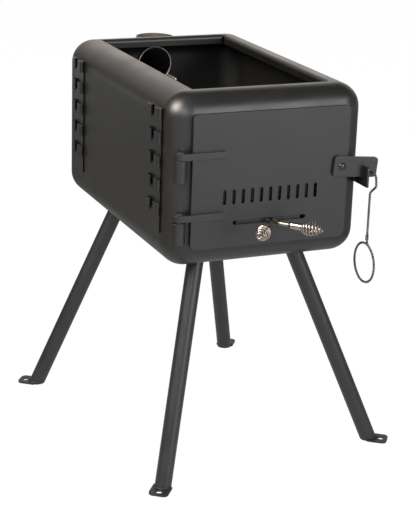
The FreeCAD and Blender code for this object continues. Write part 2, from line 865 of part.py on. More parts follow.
def make_latch():
    """The drop bar, its shoulder rivet and the J-hook keeper on the box's front right corner."""
    bar = rounded_block(
        "latch_bar_body",
        ("-bar_tail", "-bar_thick", "-bar_height / 2"),
        ("bar_reach", "0", "bar_height / 2"),
        "bar_corner",
        "Y",
        (LATCH_X, BAR_BACK, LATCH_Z),
    )
    bind(bar, Placement__Rotation__Pitch="bar_droop")
    through = "bar_thick + 2 * cut_over"
    pivot = rod(
        "bar_pivot_hole",
        "rivet_radius + rivet_slack",
        (LATCH_X, f"{BAR_FRONT} - cut_over", LATCH_Z),
        through,
        "Y",
    )
    pull_place = (PULL_X, f"{BAR_FRONT} - cut_over", PULL_Z)
    pull = rod("bar_pull_hole", "pull_hole_radius", pull_place, through, "Y")
    node("latch_bar", cut("bar_cut", bar, pivot, pull))

    head_seat = f"({BAR_FRONT} - rivet_slack)"
    shank = rod(
        "rivet_shank",
        "rivet_radius",
        (LATCH_X, head_seat, LATCH_Z),
        f"{DOOR_BACK} - {head_seat}",
        "Y",
    )
    collar = rod(
        "rivet_collar",
        "rivet_collar_radius",
        (LATCH_X, f"{BAR_BACK} + rivet_slack", LATCH_Z),
        f"{DOOR_FRONT} - {BAR_BACK} - rivet_slack",
        "Y",
    )
    dome_radius = "((rivet_head_radius ^ 2 + rivet_head_height ^ 2) / 2 / rivet_head_height)"
    ball = doc.addObject("Part::Sphere", "rivet_ball")
    bind(ball, Radius=dome_radius)
    seat(ball, (LATCH_X, f"{head_seat} - rivet_head_height + {dome_radius}", LATCH_Z))
    cap = rod(
        "rivet_cap",
        "rivet_head_radius + cut_over",
        (LATCH_X, f"{head_seat} - rivet_head_height - cut_over", LATCH_Z),
        "rivet_head_height + cut_over",
        "Y",
    )
    node("latch_rivet", fuse("rivet", shank, collar, common("rivet_dome", ball, cap)))

    floor = f"({NOTCH_FLOOR} - keeper_arm)"
    arm = block(
        "keeper_arm_block",
        (KEEPER_NEAR, PRONG_FRONT, floor),
        (KEEPER_FAR, f"-{CORNER_Y}", NOTCH_FLOOR),
    )
    prong = rounded_block(
        "keeper_prong",
        (KEEPER_NEAR, PRONG_FRONT, floor),
        (KEEPER_FAR, PRONG_BACK, f"{NOTCH_FLOOR} + prong_height"),
        "prong_corner",
        "X",
    )
    post = block(
        "keeper_post",
        (KEEPER_NEAR, f"{FRONT} + post_set", floor),
        (KEEPER_FAR, f"-{CORNER_Y}", f"{NOTCH_FLOOR} + prong_height"),
    )
    corner = rod(
        "keeper_corner",
        "edge_radius + weld_gap / 2",
        (CORNER_X, f"-{CORNER_Y}", f"{floor} - cut_over"),
        "keeper_arm + prong_height + 2 * cut_over",
    )
    node("latch_keeper", cut("keeper", fuse("keeper_hook", arm, prong, post), corner))


def make_grate():
    """The fire grate: lengthwise bars welded on two ties, standing on two rails on the box floor."""
    ties_top = f"({GRATE_Z} + tie_height)"
    bars = []
    for number in range(GRATE_BARS):
        middle = f"(grate_pitch * {number - (GRATE_BARS - 1) / 2})"
        bars.append(
            block(
                f"grate_bar_{number}",
                (f"{middle} - grate_bar_width / 2", "-grate_length / 2", ties_top),
                (f"{middle} + grate_bar_width / 2", "grate_length / 2", f"{ties_top} + grate_bar_height"),
            )
        )
    group("grate_bars", bars)
    half = f"(grate_pitch * {(GRATE_BARS - 1) / 2} + grate_bar_width / 2)"
    ties = []
    for name, sign in (("front", "-"), ("back", "")):
        middle = f"({sign}(grate_length / 2 - tie_inset))"
        ties.append(
            block(
                f"grate_tie_{name}",
                (f"-{half}", f"{middle} - tie_width / 2", GRATE_Z),
                (half, f"{middle} + tie_width / 2", ties_top),
            )
        )
    group("grate_ties", ties)
    for name, sign in (("left", "-"), ("right", "")):
        middle = f"({sign}grate_rail_x)"
        rail = block(
            f"grate_rail_block_{name}",
            (f"{middle} - grate_rail_thick / 2", "-grate_length / 2", f"{BOTTOM} + wall"),
            (f"{middle} + grate_rail_thick / 2", "grate_length / 2", GRATE_Z),
        )
        node(f"grate_rail_{name}", rail)


def rounded_path(points, bends):
    """Edges of straight runs joined by tangent arcs; bends gives each inner point's radius."""
    edges, here = [], points[0]
    for before, corner, after, radius in zip(points, points[1:], points[2:], bends):
        arrive = (corner - before).normalize()
        leave = (after - corner).normalize()
        turn = arrive.getAngle(leave)
        setback = radius * math.tan(turn / 2)
        enter, depart = corner - arrive * setback, corner + leave * setback
        inward = (leave - arrive).normalize()
        middle = corner + inward * (radius / math.cos(turn / 2) - radius)
        edges.append(Part.LineSegment(here, enter).toShape())
        edges.append(Part.Arc(enter, middle, depart).toShape())
        here = depart
    edges.append(Part.LineSegment(here, points[-1]).toShape())
    return edges


def wire_solid(edges, radius):
    """A round wire along a smooth path, its section square to the path's start."""
    path = Part.Wire(edges)
    first = path.Edges[0]
    start = first.valueAt(first.FirstParameter)
    heading = first.tangentAt(first.FirstParameter)
    section = Part.Wire(Part.Circle(start, heading, radius).toShape())
    return path.makePipeShell([section], True, False)


def feature(label, shape):
    """A node whose shape is worked out from the sheet's numbers."""
    thing = doc.addObject("Part::Feature", label + "_shape")
    thing.Shape = shape
    thing.Placement = Placement()
    return node(label, thing)


def make_pull():
    """The latch pull: one bent wire, hooked behind the bar, with a finger ring at its end."""
    x, y, z = measured(PULL_X), measured(f"({BAR_BACK} + {BAR_FRONT}) / 2"), measured(PULL_Z)
    half_bar = size("bar_thick") / 2
    back = y + half_bar + size("pull_back")
    front = y - size("pull_front")
    bulge = y - size("pull_bulge")
    radius = size("ring_radius")
    join = math.radians(size("ring_join"))
    bend = size("ring_bend")
    ring_y = y + radius * math.sin(join) - bend * (1 - math.sin(join))
    ring_z = z - size("ring_drop")

    def on_ring(angle):
        """A point of the ring, by its angle from the top towards the front."""
        return Vector(x, ring_y - radius * math.sin(angle), ring_z + radius * math.cos(angle))

    joint = on_ring(join)
    shank_foot = joint.z + bend * math.cos(join)
    run = [
        Vector(x, back, z + size("pull_hook")),
        Vector(x, back, z),
        Vector(x, front, z),
        Vector(x, bulge, z - size("pull_bulge_drop")),
        Vector(x, y, z - size("pull_neck_drop")),
        Vector(x, y, shank_foot),
    ]
    edges = rounded_path(run, [size("pull_hook_bend")] + 3 * [size("pull_bend")])
    half_turn = (math.pi / 2 - join) / 2
    centre = Vector(x, y - bend, shank_foot)
    middle = centre + Vector(0, bend * math.cos(half_turn), -bend * math.sin(half_turn))
    edges.append(Part.Arc(run[-1], middle, joint).toShape())
    ring_end = 2 * math.pi - size("ring_gap") / radius
    step = (ring_end - join) / 2
    for low in (join, join + step):
        edges.append(Part.Arc(on_ring(low), on_ring(low + step / 2), on_ring(low + step)).toShape())
    feature("latch_pull", wire_solid(edges, size("pull_radius")))


def biarc(start, start_way, end, end_way):
    """Two arcs that leave start along start_way and reach end along end_way."""
    span = end - start
    ways = start_way + end_way
    denominator = 2 * (1 - start_way.dot(end_way))
    reach = span.dot(ways)
    step = (math.sqrt(reach ** 2 + denominator * span.dot(span)) - reach) / denominator
    joint = (start + start_way * step + end - end_way * step) * 0.5
    arcs = []
    for one, way, other in ((start, start_way, joint), (end, end_way * -1, joint)):
        chord = other - one
        cosine = chord.dot(way) / chord.Length
        angle = math.acos(max(-1.0, min(1.0, cosine)))
        side = (way - chord * (way.dot(chord) / chord.dot(chord))).normalize()
        middle = one + chord * 0.5 + side * (chord.Length / 2 * math.tan(angle / 2))
        arcs.append((one, middle, other))
    first, second = arcs
    return [Part.Arc(*first).toShape(), Part.Arc(second[2], second[1], second[0]).toShape()]


def coil_point(turn, base, along, across, up):
    """Centre line of the handle's wire after so many turns: a close neck, then a swelling coil."""
    neck = size("neck_mean")
    wire = 2 * size("coil_wire")
    if turn <= NECK_TURNS:
        radius, travel = neck, wire * 2 + turn * size("neck_pitch")
    else:
        share = (turn - NECK_TURNS) / COIL_TURNS
        taper = neck + (size("tip_mean") - neck) * share
        radius = taper + size("coil_swell") * math.sin(math.pi * share ** 0.8)
        travel = wire * 2 + NECK_TURNS * size("neck_pitch") + share * COIL_TURNS * size("coil_pitch")
    angle = 2 * math.pi * turn
    return base + along * travel + (across * math.cos(angle) + up * math.sin(angle)) * radius


def coil_way(turn, *frame):
    """Direction of the wire after so many turns."""
    step = 0.002
    return (coil_point(turn + step, *frame) - coil_point(turn - step, *frame)).normalize()


def spring_gap(edges, wire_radius):
    """Least free gap between stretches of the wire that aren't neighbours along it."""
    points, run, travelled = [], [], 0.0
    for edge in edges:
        for share in (0.0, 0.2, 0.4, 0.6, 0.8):
            spot = edge.FirstParameter + share * (edge.LastParameter - edge.FirstParameter)
            points.append(edge.valueAt(spot))
            run.append(travelled + share * edge.Length)
        travelled += edge.Length
    least = math.inf
    skip = 5 * wire_radius
    for index, point in enumerate(points):
        for other in range(index + 1, len(points)):
            if run[other] - run[index] > skip:
                least = min(least, (point - points[other]).Length)
    return least - 2 * wire_radius


def make_handle(name, side):
    """A shutter's bent rod, and the coil of wire wound round its tang as a cool handle."""
    splay = math.radians(size("rod_splay"))
    height = measured(SLOT_Z)
    root = Vector(side * size("rod_spread"), measured(SHUTTER_FRONT), height)
    corner = Vector(root.x, measured(DOOR_FRONT) - size("rod_out"), height)
    along = Vector(side * math.sin(splay), -math.cos(splay), 0)
    collar = corner + along * size("rod_arm")
    shoulder = collar + along * size("collar_length")
    bar = wire_solid(rounded_path([root, corner, collar], [size("rod_bend")]), size("rod_radius"))
    neck_length = 4 * size("coil_wire") + NECK_TURNS * size("neck_pitch")
    flange = Part.makeCylinder(size("collar_radius"), size("collar_length"), collar, along)
    tang = Part.makeCylinder(size("tang_radius"), neck_length, shoulder, along)
    feature(f"shutter_rod_{name}", bar.fuse([flange, tang]).removeSplitter())

    up = Vector(0, 0, 1)
    across = up.cross(along)
    wire = size("coil_wire")
    frame = (shoulder, along, across, up)
    last_turn = NECK_TURNS + COIL_TURNS
    foot = shoulder + across * size("neck_mean")
    lift = foot + along * (2 * wire)
    edges = [Part.LineSegment(foot, lift).toShape()]
    edges += biarc(lift, along, coil_point(LEAD_IN_TURNS, *frame), coil_way(LEAD_IN_TURNS, *frame))
    quarters = round((last_turn - LEAD_IN_TURNS) * 4)
    turns = [LEAD_IN_TURNS + (last_turn - LEAD_IN_TURNS) * step / quarters for step in range(quarters + 1)]
    for low, high in zip(turns, turns[1:]):
        edges += biarc(
            coil_point(low, *frame),
            coil_way(low, *frame),
            coil_point(high, *frame),
            coil_way(high, *frame),
        )
    tip = coil_point(last_turn, *frame)
    edges.append(Part.LineSegment(tip, tip + coil_way(last_turn, *frame) * (2 * wire)).toShape())
    gap = spring_gap(edges, wire)
    print(f"shutter_handle_{name}: least gap of the wire to itself {gap:.2f} mm")
    if gap <= MIN_SPRING_GAP:
        raise ValueError(f"the coil of shutter_handle_{name} touches itself")
    feature(f"shutter_handle_{name}", wire_solid(edges, wire))


def check_and_write():
    """Stops on any failed object or bad shape, then writes one file per sub-part."""
    doc.recompute()
    for thing in doc.Objects:
        if "Invalid" in thing.State or "Error" in thing.State:
            raise RuntimeError(f"{thing.Name} failed: {thing.State}")
    for thing in nodes:
        if thing.Shape.isNull() or not thing.Shape.isValid() or not thing.Shape.Solids:
            raise RuntimeError(f"{thing.Label} has no valid solid")
    os.makedirs("parts", exist_ok=True)
    for thing in nodes:
        thing.Shape.exportStep(f"parts/{thing.Label}.step")
        print(f"{thing.Label}: {len(thing.Shape.Solids)} solid(s), {thing.Shape.Volume:.0f} mm3")


make_firebox()
make_door_frame()
make_flue()
make_hanger_strip("hanger_strip_front", f"({FRONT} + strip_front_inset)")
make_hanger_strip("hanger_strip_rear", f"({BACK} - strip_rear_inset)")
for leg_name, leg_side_x, leg_side_y in (
    ("front_left", -1, -1),
    ("front_right", 1, -1),
    ("back_left", -1, 1),
    ("back_right", 1, 1),
):
    make_leg(leg_name, leg_side_x, leg_side_y)
make_hinge("upper", "hinge_upper", "play_upper")
make_hinge("lower", "hinge_lower", "play_lower")
make_door()
make_liner()
make_shutters()
make_latch()
make_grate()
make_pull()
make_handle("left", -1)
make_handle("right", 1)
check_and_write()
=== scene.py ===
# %% [markdown]
# # An outdoor fire box on four legs
# The object is a small wood stove for the garden: a folded steel box with a
# big soft radius on every edge, open on top, on four splayed tube legs. The
# imported model already holds every rigid piece at its true size, so this file
# only dresses it: light, paint, bare metal, wound wire and welds.
# The frame is loaded first.

# %% Load the imported model
import math

import bpy
import numpy as np
from mathutils import Matrix, Vector


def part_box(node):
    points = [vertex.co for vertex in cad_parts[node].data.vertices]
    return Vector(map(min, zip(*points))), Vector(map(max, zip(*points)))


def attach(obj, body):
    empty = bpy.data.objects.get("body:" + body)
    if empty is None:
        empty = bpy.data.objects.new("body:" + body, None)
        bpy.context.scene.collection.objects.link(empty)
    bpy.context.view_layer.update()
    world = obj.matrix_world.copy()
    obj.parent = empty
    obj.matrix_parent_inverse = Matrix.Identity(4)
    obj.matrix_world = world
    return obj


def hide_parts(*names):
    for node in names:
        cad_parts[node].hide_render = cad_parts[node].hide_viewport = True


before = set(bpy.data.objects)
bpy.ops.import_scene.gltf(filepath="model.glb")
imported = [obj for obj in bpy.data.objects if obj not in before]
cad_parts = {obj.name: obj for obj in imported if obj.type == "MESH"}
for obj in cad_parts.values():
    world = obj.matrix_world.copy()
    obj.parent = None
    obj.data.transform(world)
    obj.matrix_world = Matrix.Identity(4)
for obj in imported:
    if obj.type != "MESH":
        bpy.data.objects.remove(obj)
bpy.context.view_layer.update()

MM = 0.001
scene = bpy.context.scene
print("nodes:", len(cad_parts))

# %% [markdown]
# ## The camera
# The photograph was taken from the front left, a little above the box, with a
# long lens. Place and turn were solved from the box's own corners, so the
# numbers are simply written down. The turn is built from three plain turns:
# swing round, tilt up from straight down, and a small roll.

# %% Camera at the photograph's angle
CAMERA_PLACE = Vector((-934.40, -2147.96, 1051.66)) * MM
CAMERA_SWING, CAMERA_TILT, CAMERA_ROLL = (math.radians(a) for a in (-23.613, 71.562, 1.947))
SENSOR_WIDTH, FOCAL_LENGTH, FAR_CLIP = 36.0, 107.025, 100.0

lens = bpy.data.cameras.new("photo_camera")
lens.sensor_width = SENSOR_WIDTH
lens.lens = FOCAL_LENGTH
lens.clip_end = FAR_CLIP
camera = bpy.data.objects.new("photo_camera", lens)
turn = (
    Matrix.Rotation(CAMERA_SWING, 4, "Z")
    @ Matrix.Rotation(CAMERA_TILT, 4, "X")
    @ Matrix.Rotation(CAMERA_ROLL, 4, "Z")
)
camera.matrix_world = Matrix.Translation(CAMERA_PLACE) @ turn
scene.collection.objects.link(camera)
scene.camera = camera
print("camera is", round(CAMERA_PLACE.length, 2), "m from the origin")

# %% [markdown]
# ## Small helpers for node trees
# A node tree in code is mostly "make a node, set a few values, link a few
# sockets". One helper does all three: a value that is itself a socket gets a
# link, any other value is written on the socket.


# %% Node helpers
def put(socket_owner, tree, values):
    """Writes each value on the named input, or links it where the value is a socket."""
    for name, value in values.items():
        if isinstance(value, bpy.types.NodeSocket):
            tree.links.new(value, socket_owner.inputs[name])
        else:
            socket_owner.inputs[name].default_value = value


def add(tree, kind, values=None, **settings):
    """Adds a node of a kind, sets its settings and then its inputs."""
    made = tree.nodes.new(kind)
    for name, value in settings.items():
        setattr(made, name, value)
    put(made, tree, values or {})
    return made


def sums(tree, operation, *values, clamp=False):
    """A Math node on two or three values or sockets, and returns its output socket."""
    places = dict(enumerate(values))
    return add(tree, "ShaderNodeMath", places, operation=operation, use_clamp=clamp).outputs[0]


def vector_sums(tree, operation, *values):
    """A Vector Math node on one or two vectors, and returns the one output that it has in use."""
    made = add(tree, "ShaderNodeVectorMath", dict(enumerate(values)), operation=operation)
    return next(socket for socket in made.outputs if socket.enabled)


def spread(tree, value, low, high, new_low=0.0, new_high=1.0):
    """Maps a value from one range to another, held at both ends."""
    places = {"Value": value, "From Min": low, "From Max": high, "To Min": new_low, "To Max": new_high}
    return add(tree, "ShaderNodeMapRange", places).outputs[0]


print("node helpers ready")

# %% [markdown]
# ## Which ray asks
# A studio picture sets three things apart: what the camera sees, what the
# paint mirrors, and what lights the object. One helper tells the kinds of ray
# apart, and the other picks one of three levels by the kind. A Mix node has its
# share at socket 0, its two values at 2 and 3, and its two colours at 6 and 7.


# %% Levels by kind of ray
def ray_kinds(tree):
    """1 for rays straight from the camera, and 1 for rays from a mirror or through glass."""
    path = add(tree, "ShaderNodeLightPath").outputs
    return path["Is Camera Ray"], sums(tree, "MAXIMUM", path["Is Glossy Ray"], path["Is Transmission Ray"])


def by_ray(tree, diffuse, mirrored, seen):
    """One of three levels: for diffuse light, for reflections, and for the camera."""
    camera_ray, mirror_ray = ray_kinds(tree)
    level = add(tree, "ShaderNodeMix", {0: mirror_ray, 2: diffuse, 3: mirrored}).outputs[0]
    return add(tree, "ShaderNodeMix", {0: camera_ray, 2: level, 3: seen}).outputs[0]


scene.view_settings.view_transform = "Standard"
print("view transform:", scene.view_settings.view_transform)

# %% [markdown]
# ## The room
# To the camera the room is plain white. The paint mirrors something else: a
# bright, slightly warm wall behind the stove that is dimmer near the floor,
# dull walls elsewhere, and a dark ceiling. Black paint needs something dark to
# mirror, or it turns grey. For diffuse light the room is only a soft fill.

# %% World
FILL = 0.14
BACK_WAY = (0.40, 0.916, 0.0)
BACK_FROM, BACK_FULL = 0.70, 0.92
BACK_LOW, BACK_MID, REST_LOW, REST_MID = 0.55, 1.75, 0.10, 0.24
LOW_TOP, MID_FOOT = 0.04, 0.22
CEILING_FOOT, CEILING_FULL, CEILING_SHARE = 0.40, 0.75, 0.06
WHITE, MIRRORED_TINT = (1.0, 1.0, 1.0, 1.0), (1.0, 0.93, 0.87, 1.0)

world = bpy.data.worlds.new("white_sweep")
world.use_nodes = True
scene.world = world
tree = world.node_tree
tree.nodes.clear()
way = add(tree, "ShaderNodeTexCoord").outputs["Generated"]
height = add(tree, "ShaderNodeSeparateXYZ", {0: way}).outputs["Z"]
ceiling = spread(tree, height, CEILING_FOOT, CEILING_FULL, 1.0, CEILING_SHARE)


def wall_band(low_level, mid_level):
    """A level near the horizon, another above it, and nearly nothing overhead."""
    return sums(tree, "MULTIPLY", spread(tree, height, LOW_TOP, MID_FOOT, low_level, mid_level), ceiling)


behind = spread(tree, vector_sums(tree, "DOT_PRODUCT", way, BACK_WAY), BACK_FROM, BACK_FULL)
dull, bright = wall_band(REST_LOW, REST_MID), wall_band(BACK_LOW, BACK_MID)
walls = add(tree, "ShaderNodeMix", {0: behind, 2: dull, 3: bright})
level = by_ray(tree, FILL, walls.outputs[0], 1.0)
tints = {0: ray_kinds(tree)[1], 6: WHITE, 7: MIRRORED_TINT}
tint = add(tree, "ShaderNodeMix", tints, data_type="RGBA").outputs[2]
sheet = add(tree, "ShaderNodeBackground", {"Color": tint, "Strength": level})
add(tree, "ShaderNodeOutputWorld", {"Surface": sheet.outputs[0]})
print("world", world.name, "with fill", FILL)

# %% [markdown]
# ## The floor
# The floor is a pale sheet. To the camera it mostly glows, so it reads as
# paper, and it keeps a faint shadow. To the paint it is a dim sheet with three
# brighter areas: a pool round the feet, an apron in front, which the door
# mirrors, and a sweep that runs up to the bright wall behind.

# %% Floor
FLOOR_HALF, FLOOR_DROP = 14.0, 0.0003
POOL, POOL_REST, POOL_NEAR, POOL_FAR = 0.40, 0.07, 0.4, 0.9
SWEEP, SWEEP_FROM, SWEEP_FULL = 0.42, 1.6, 2.6
APRON, APRON_FROM, APRON_FULL = 0.49, 0.55, 1.05
FRONT_WAY = (0.0, -1.0, 0.0)
PAPER_GLOW, PAPER_TONE, PAPER_MIRRORED, SHADOW_SHARE = 0.98, 0.82, 0.35, 0.10

signs = ((-1, -1), (1, -1), (1, 1), (-1, 1))
sheet_corners = [(x * FLOOR_HALF, y * FLOOR_HALF, -FLOOR_DROP) for x, y in signs]
floor_mesh = bpy.data.meshes.new("floor")
floor_mesh.from_pydata(sheet_corners, [], [(0, 1, 2, 3)])
floor = bpy.data.objects.new("floor", floor_mesh)
scene.collection.objects.link(floor)

paper = bpy.data.materials.new("white_paper")
paper.use_nodes = True
tree = paper.node_tree
tree.nodes.clear()
spot = add(tree, "ShaderNodeTexCoord").outputs["Object"]
pool = spread(tree, vector_sums(tree, "LENGTH", spot), POOL_NEAR, POOL_FAR, POOL, POOL_REST)
way_back = vector_sums(tree, "DOT_PRODUCT", spot, BACK_WAY)
way_front = vector_sums(tree, "DOT_PRODUCT", spot, FRONT_WAY)
sweep = spread(tree, way_back, SWEEP_FROM, SWEEP_FULL, 0.0, SWEEP)
apron = spread(tree, way_front, APRON_FROM, APRON_FULL, 0.0, APRON)
glows = sums(tree, "ADD", sums(tree, "ADD", pool, sweep), apron)
glow = add(tree, "ShaderNodeEmission", {"Color": WHITE, "Strength": by_ray(tree, 0.0, glows, PAPER_GLOW)})
kept = by_ray(tree, PAPER_TONE, PAPER_MIRRORED, PAPER_TONE * SHADOW_SHARE)
tone = add(tree, "ShaderNodeCombineColor", {0: kept, 1: kept, 2: kept}).outputs[0]
matt = add(tree, "ShaderNodeBsdfDiffuse", {"Color": tone})
both = add(tree, "ShaderNodeAddShader", {0: matt.outputs[0], 1: glow.outputs[0]})
add(tree, "ShaderNodeOutputMaterial", {"Surface": both.outputs[0]})
floor_mesh.materials.append(paper)
print("floor", 2 * FLOOR_HALF, "m wide")

# %% [markdown]
# ## Lamps
# The round bright spot on the near top corner and the pair of spots on the
# rivet tell where the lamps stood: a warm lamp high on the left, and a slightly
# cool soft box in front, right of the camera, with a small lamp beside it. A
# second warm disk in front of the left lamp shows only in reflections, so the
# bright spot is strong while the left wall stays dark. Two soft boxes, at the
# front left and overhead, lift the rest. Each lamp is placed by its bearing as
# seen from the box: 0 degrees is straight in front of the door.

# %% Lamps by bearing
AIM = Vector((-0.05, -0.15, 0.50))
WARM, COOL, PLAIN = (1.0, 0.92, 0.83), (0.95, 0.96, 1.0), (1.0, 1.0, 1.0)
# Bearing and height in degrees, distance, width and tallness in metres, watts, tint and shape.
LAMPS = {
    "left_lamp": (-82, 42, 2.5, 1.6, 1.6, 24, WARM, "DISK"),
    "left_glint": (-82, 42, 2.3, 1.45, 1.45, 72, WARM, "DISK"),
    "right_lamp": (41, 32, 2.4, 0.35, 0.35, 4, COOL, "DISK"),
    "front_box": (26, 15, 2.6, 1.0, 1.8, 26, COOL, "RECTANGLE"),
    "front_left_box": (-30, 30, 2.8, 1.6, 1.2, 23, PLAIN, "RECTANGLE"),
    "top_box": (0, 80, 2.2, 1.6, 2.2, 5, PLAIN, "RECTANGLE"),
}
GLINTS = ("left_glint",)


def lamp(name, bearing, height, distance, width, tall, watts, tint, shape):
    """An area lamp at a bearing and height angle from the box, aimed at it."""
    b, h = math.radians(bearing), math.radians(height)
    way = Vector((math.sin(b) * math.cos(h), -math.cos(b) * math.cos(h), math.sin(h)))
    data = bpy.data.lights.new(name, "AREA")
    data.shape, data.size, data.size_y = shape, width, tall
    data.energy, data.color = watts, tint
    made = bpy.data.objects.new(name, data)
    facing = way.to_track_quat("Z", "Y").to_matrix().to_4x4()
    made.matrix_world = Matrix.Translation(AIM + way * distance) @ facing
    made.visible_camera = False
    made.visible_diffuse = name not in GLINTS
    scene.collection.objects.link(made)
    print(name, "stands at", [round(c, 2) for c in made.matrix_world.translation])


for name, values in LAMPS.items():
    lamp(name, *values)

# %% [markdown]
# ## Shared surface effects
# Some effects turn up in more than one finish, so each is a node group. The
# first is a fine grain with a slow mottle and specks. Noise gathers about a
# half, so a mask is spread from a range of it round there.


# %% Grain group
def group(name, inputs, outputs):
    """An empty node group with named inputs (name, value) and outputs (name, kind)."""
    made = bpy.data.node_groups.new(name, "ShaderNodeTree")
    for label, value in inputs:
        made.interface.new_socket(label, in_out="INPUT", socket_type="NodeSocketFloat").default_value = value
    for label, kind in outputs:
        made.interface.new_socket(label, in_out="OUTPUT", socket_type=kind)
    return made, made.nodes.new("NodeGroupInput").outputs, made.nodes.new("NodeGroupOutput")


def object_noise(tree, scale, detail=2.0, roughness=0.5):
    """Noise on Object coordinates: scale counts its features in a metre."""
    place = add(tree, "ShaderNodeTexCoord").outputs["Object"]
    values = {"Vector": place, "Scale": scale, "Detail": detail, "Roughness": roughness}
    return add(tree, "ShaderNodeTexNoise", values).outputs[0]


MIDDLE, WIDE = (0.35, 0.65), (0.30, 0.70)
SPECK_SCALE = 0.55
grain, given, out = group(
    "fine_grain",
    [("Grain Per Metre", 900.0), ("Mottle Per Metre", 14.0)],
    [("Height", "NodeSocketFloat"), ("Mottle", "NodeSocketFloat"), ("Speck", "NodeSocketFloat")],
)
peel = object_noise(grain, given["Grain Per Metre"], detail=3.0, roughness=0.62)
slow = object_noise(grain, given["Mottle Per Metre"], detail=4.0, roughness=0.55)
specks = object_noise(grain, sums(grain, "MULTIPLY", given["Grain Per Metre"], SPECK_SCALE), detail=1.0)
put(out, grain, {"Height": peel, "Mottle": slow, "Speck": spread(grain, specks, *MIDDLE)})
print("group", grain.name, "puts out", [socket.name for socket in out.inputs if socket.name])

# %% [markdown]
# Two more groups are about edges: one eases them, and one gives a mask along
# them that lightens edges, as wear where the surface is rubbed thin and, on the
# paints, as a painted highlight. Both use a normal that is averaged over a small radius.
# It differs from the true normal only close to an edge.

# %% Edge groups
BEVEL_SAMPLES = 6
BREAK_LOW, BREAK_HIGH, BROKEN_SHARE = 0.40, 0.62, 0.25

eased, given, out = group("eased_edge", [("Radius", 0.0006)], [("Normal", "NodeSocketVector")])
soft = add(eased, "ShaderNodeBevel", {"Radius": given["Radius"]}, samples=BEVEL_SAMPLES).outputs[0]
put(out, eased, {"Normal": soft})

wear_and_highlight, given, out = group(
    "edge_wear_and_highlight",
    [("Radius", 0.0012), ("Gain", 3.0), ("Breaks Per Metre", 160.0)],
    [("Mask", "NodeSocketFloat")],
)
soft = add(wear_and_highlight, "ShaderNodeBevel", {"Radius": given["Radius"]}, samples=BEVEL_SAMPLES).outputs[0]
true = add(wear_and_highlight, "ShaderNodeNewGeometry").outputs["Normal"]
alike = vector_sums(wear_and_highlight, "DOT_PRODUCT", soft, true)
edge = sums(wear_and_highlight, "MULTIPLY", sums(wear_and_highlight, "SUBTRACT", 1.0, alike), given["Gain"], clamp=True)
breaks = object_noise(wear_and_highlight, given["Breaks Per Metre"], detail=3.0, roughness=0.6)
broken = spread(wear_and_highlight, breaks, BREAK_LOW, BREAK_HIGH, BROKEN_SHARE, 1.0)
put(out, wear_and_highlight, {"Mask": sums(wear_and_highlight, "MULTIPLY", edge, broken, clamp=True)})
print("groups:", [g.name for g in bpy.data.node_groups])

# %% [markdown]
# ## Building a finish
# Every finish is one Principled shader that is fed by groups and blends.


# %% Finish helpers
def use(tree, shared, **values):
    """Places a shared group in a material with its own values."""
    made = tree.nodes.new("ShaderNodeGroup")
    made.node_tree = shared
    put(made, tree, {name.replace("_", " "): value for name, value in values.items()})
    return made.outputs


def new_finish(name):
    """A material with a lone Principled shader, and returns it, its tree and the shader."""
    made = bpy.data.materials.new(name)
    made.use_nodes = True
    tree = made.node_tree
    shader = tree.nodes["Principled BSDF"]
    return made, tree, shader


def blend_colour(tree, share, first, second):
    """Mixes two colours, or colour sockets, by a share."""
    node = add(tree, "ShaderNodeMix", data_type="RGBA")
    for place, value in ((0, share), (6, first), (7, second)):
        if isinstance(value, bpy.types.NodeSocket):
            tree.links.new(value, node.inputs[place])
        else:
            node.inputs[place].default_value = value if place == 0 else (*value, 1.0)
    return node.outputs[2]


print("finish helpers ready")

# %% [markdown]
# ## Where shade is painted
# The chamber, the duct and the depth of the flue socket are painted darker than
# their outsides, which are faces of the same pieces: painted shade in these
# hollows. Masks on the place of a point tell them apart. The sizes are those of
# the sheet metal.

# %% Soot masks
EDGE_RADIUS, WALL, LIP, DUCT_WALL = 0.0365, 0.003, 0.0145, 0.002
OUTER_SHARE, INNER_SHARE = 0.3, 0.7
RIM_CLEAN, RIM_SOOTY = 0.010, 0.022


def inside_mask(tree, low, high, radius, wall):
    """1 on the inner faces of a rounded box with a wall, 0 on its outer faces.

    Measured from the box's middle, the part of a point beyond the straight
    core of the box is as long as the edge radius on the outer skin, and
    shorter by the wall on the inner one.
    """
    middle, core = (low + high) / 2, (high - low) / 2 - radius
    place = add(tree, "ShaderNodeTexCoord").outputs["Object"]
    offset = vector_sums(tree, "SUBTRACT", place, middle)
    folded = vector_sums(tree, "ABSOLUTE", offset)
    beyond = vector_sums(tree, "SUBTRACT", folded, core)
    clear = vector_sums(tree, "MAXIMUM", beyond, (0, 0, 0))
    depth = vector_sums(tree, "LENGTH", clear)
    return spread(tree, depth, radius - INNER_SHARE * wall, radius - OUTER_SHARE * wall, 1.0, 0.0)


def below_mask(tree, full, none):
    """1 below a height, fading to 0 at another."""
    place = add(tree, "ShaderNodeTexCoord").outputs["Object"]
    return spread(tree, add(tree, "ShaderNodeSeparateXYZ", {0: place}).outputs["Z"], full, none, 1.0, 0.0)


def chamber_mask(tree):
    """1 on faces in the fire chamber, up to the lips of the mouth."""
    low, high = (np.array(corner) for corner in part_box("firebox_shell"))
    lip_foot = high[2] - LIP
    inside = inside_mask(tree, low, high, EDGE_RADIUS, WALL)
    return sums(tree, "MULTIPLY", inside, below_mask(tree, lip_foot - WALL, lip_foot - WALL / 2))


def duct_mask(tree):
    """1 on the duct's inner faces: its box is stretched forwards, where it is open to the fire."""
    low, high = (np.array(corner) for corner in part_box("flue_duct"))
    low[1] -= EDGE_RADIUS
    return inside_mask(tree, low, high, DUCT_WALL, DUCT_WALL)


def rim_mask(tree):
    """1 in the flue socket's depth, where shade is painted, fading to 0 at its hot rim."""
    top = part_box("flue_socket")[1][2]
    return below_mask(tree, top - RIM_SOOTY, top - RIM_CLEAN)


# Painted shade in the chamber starts this far below the mouth's top.
print("soot starts", round(LIP / MM, 1), "mm below the mouth's top")
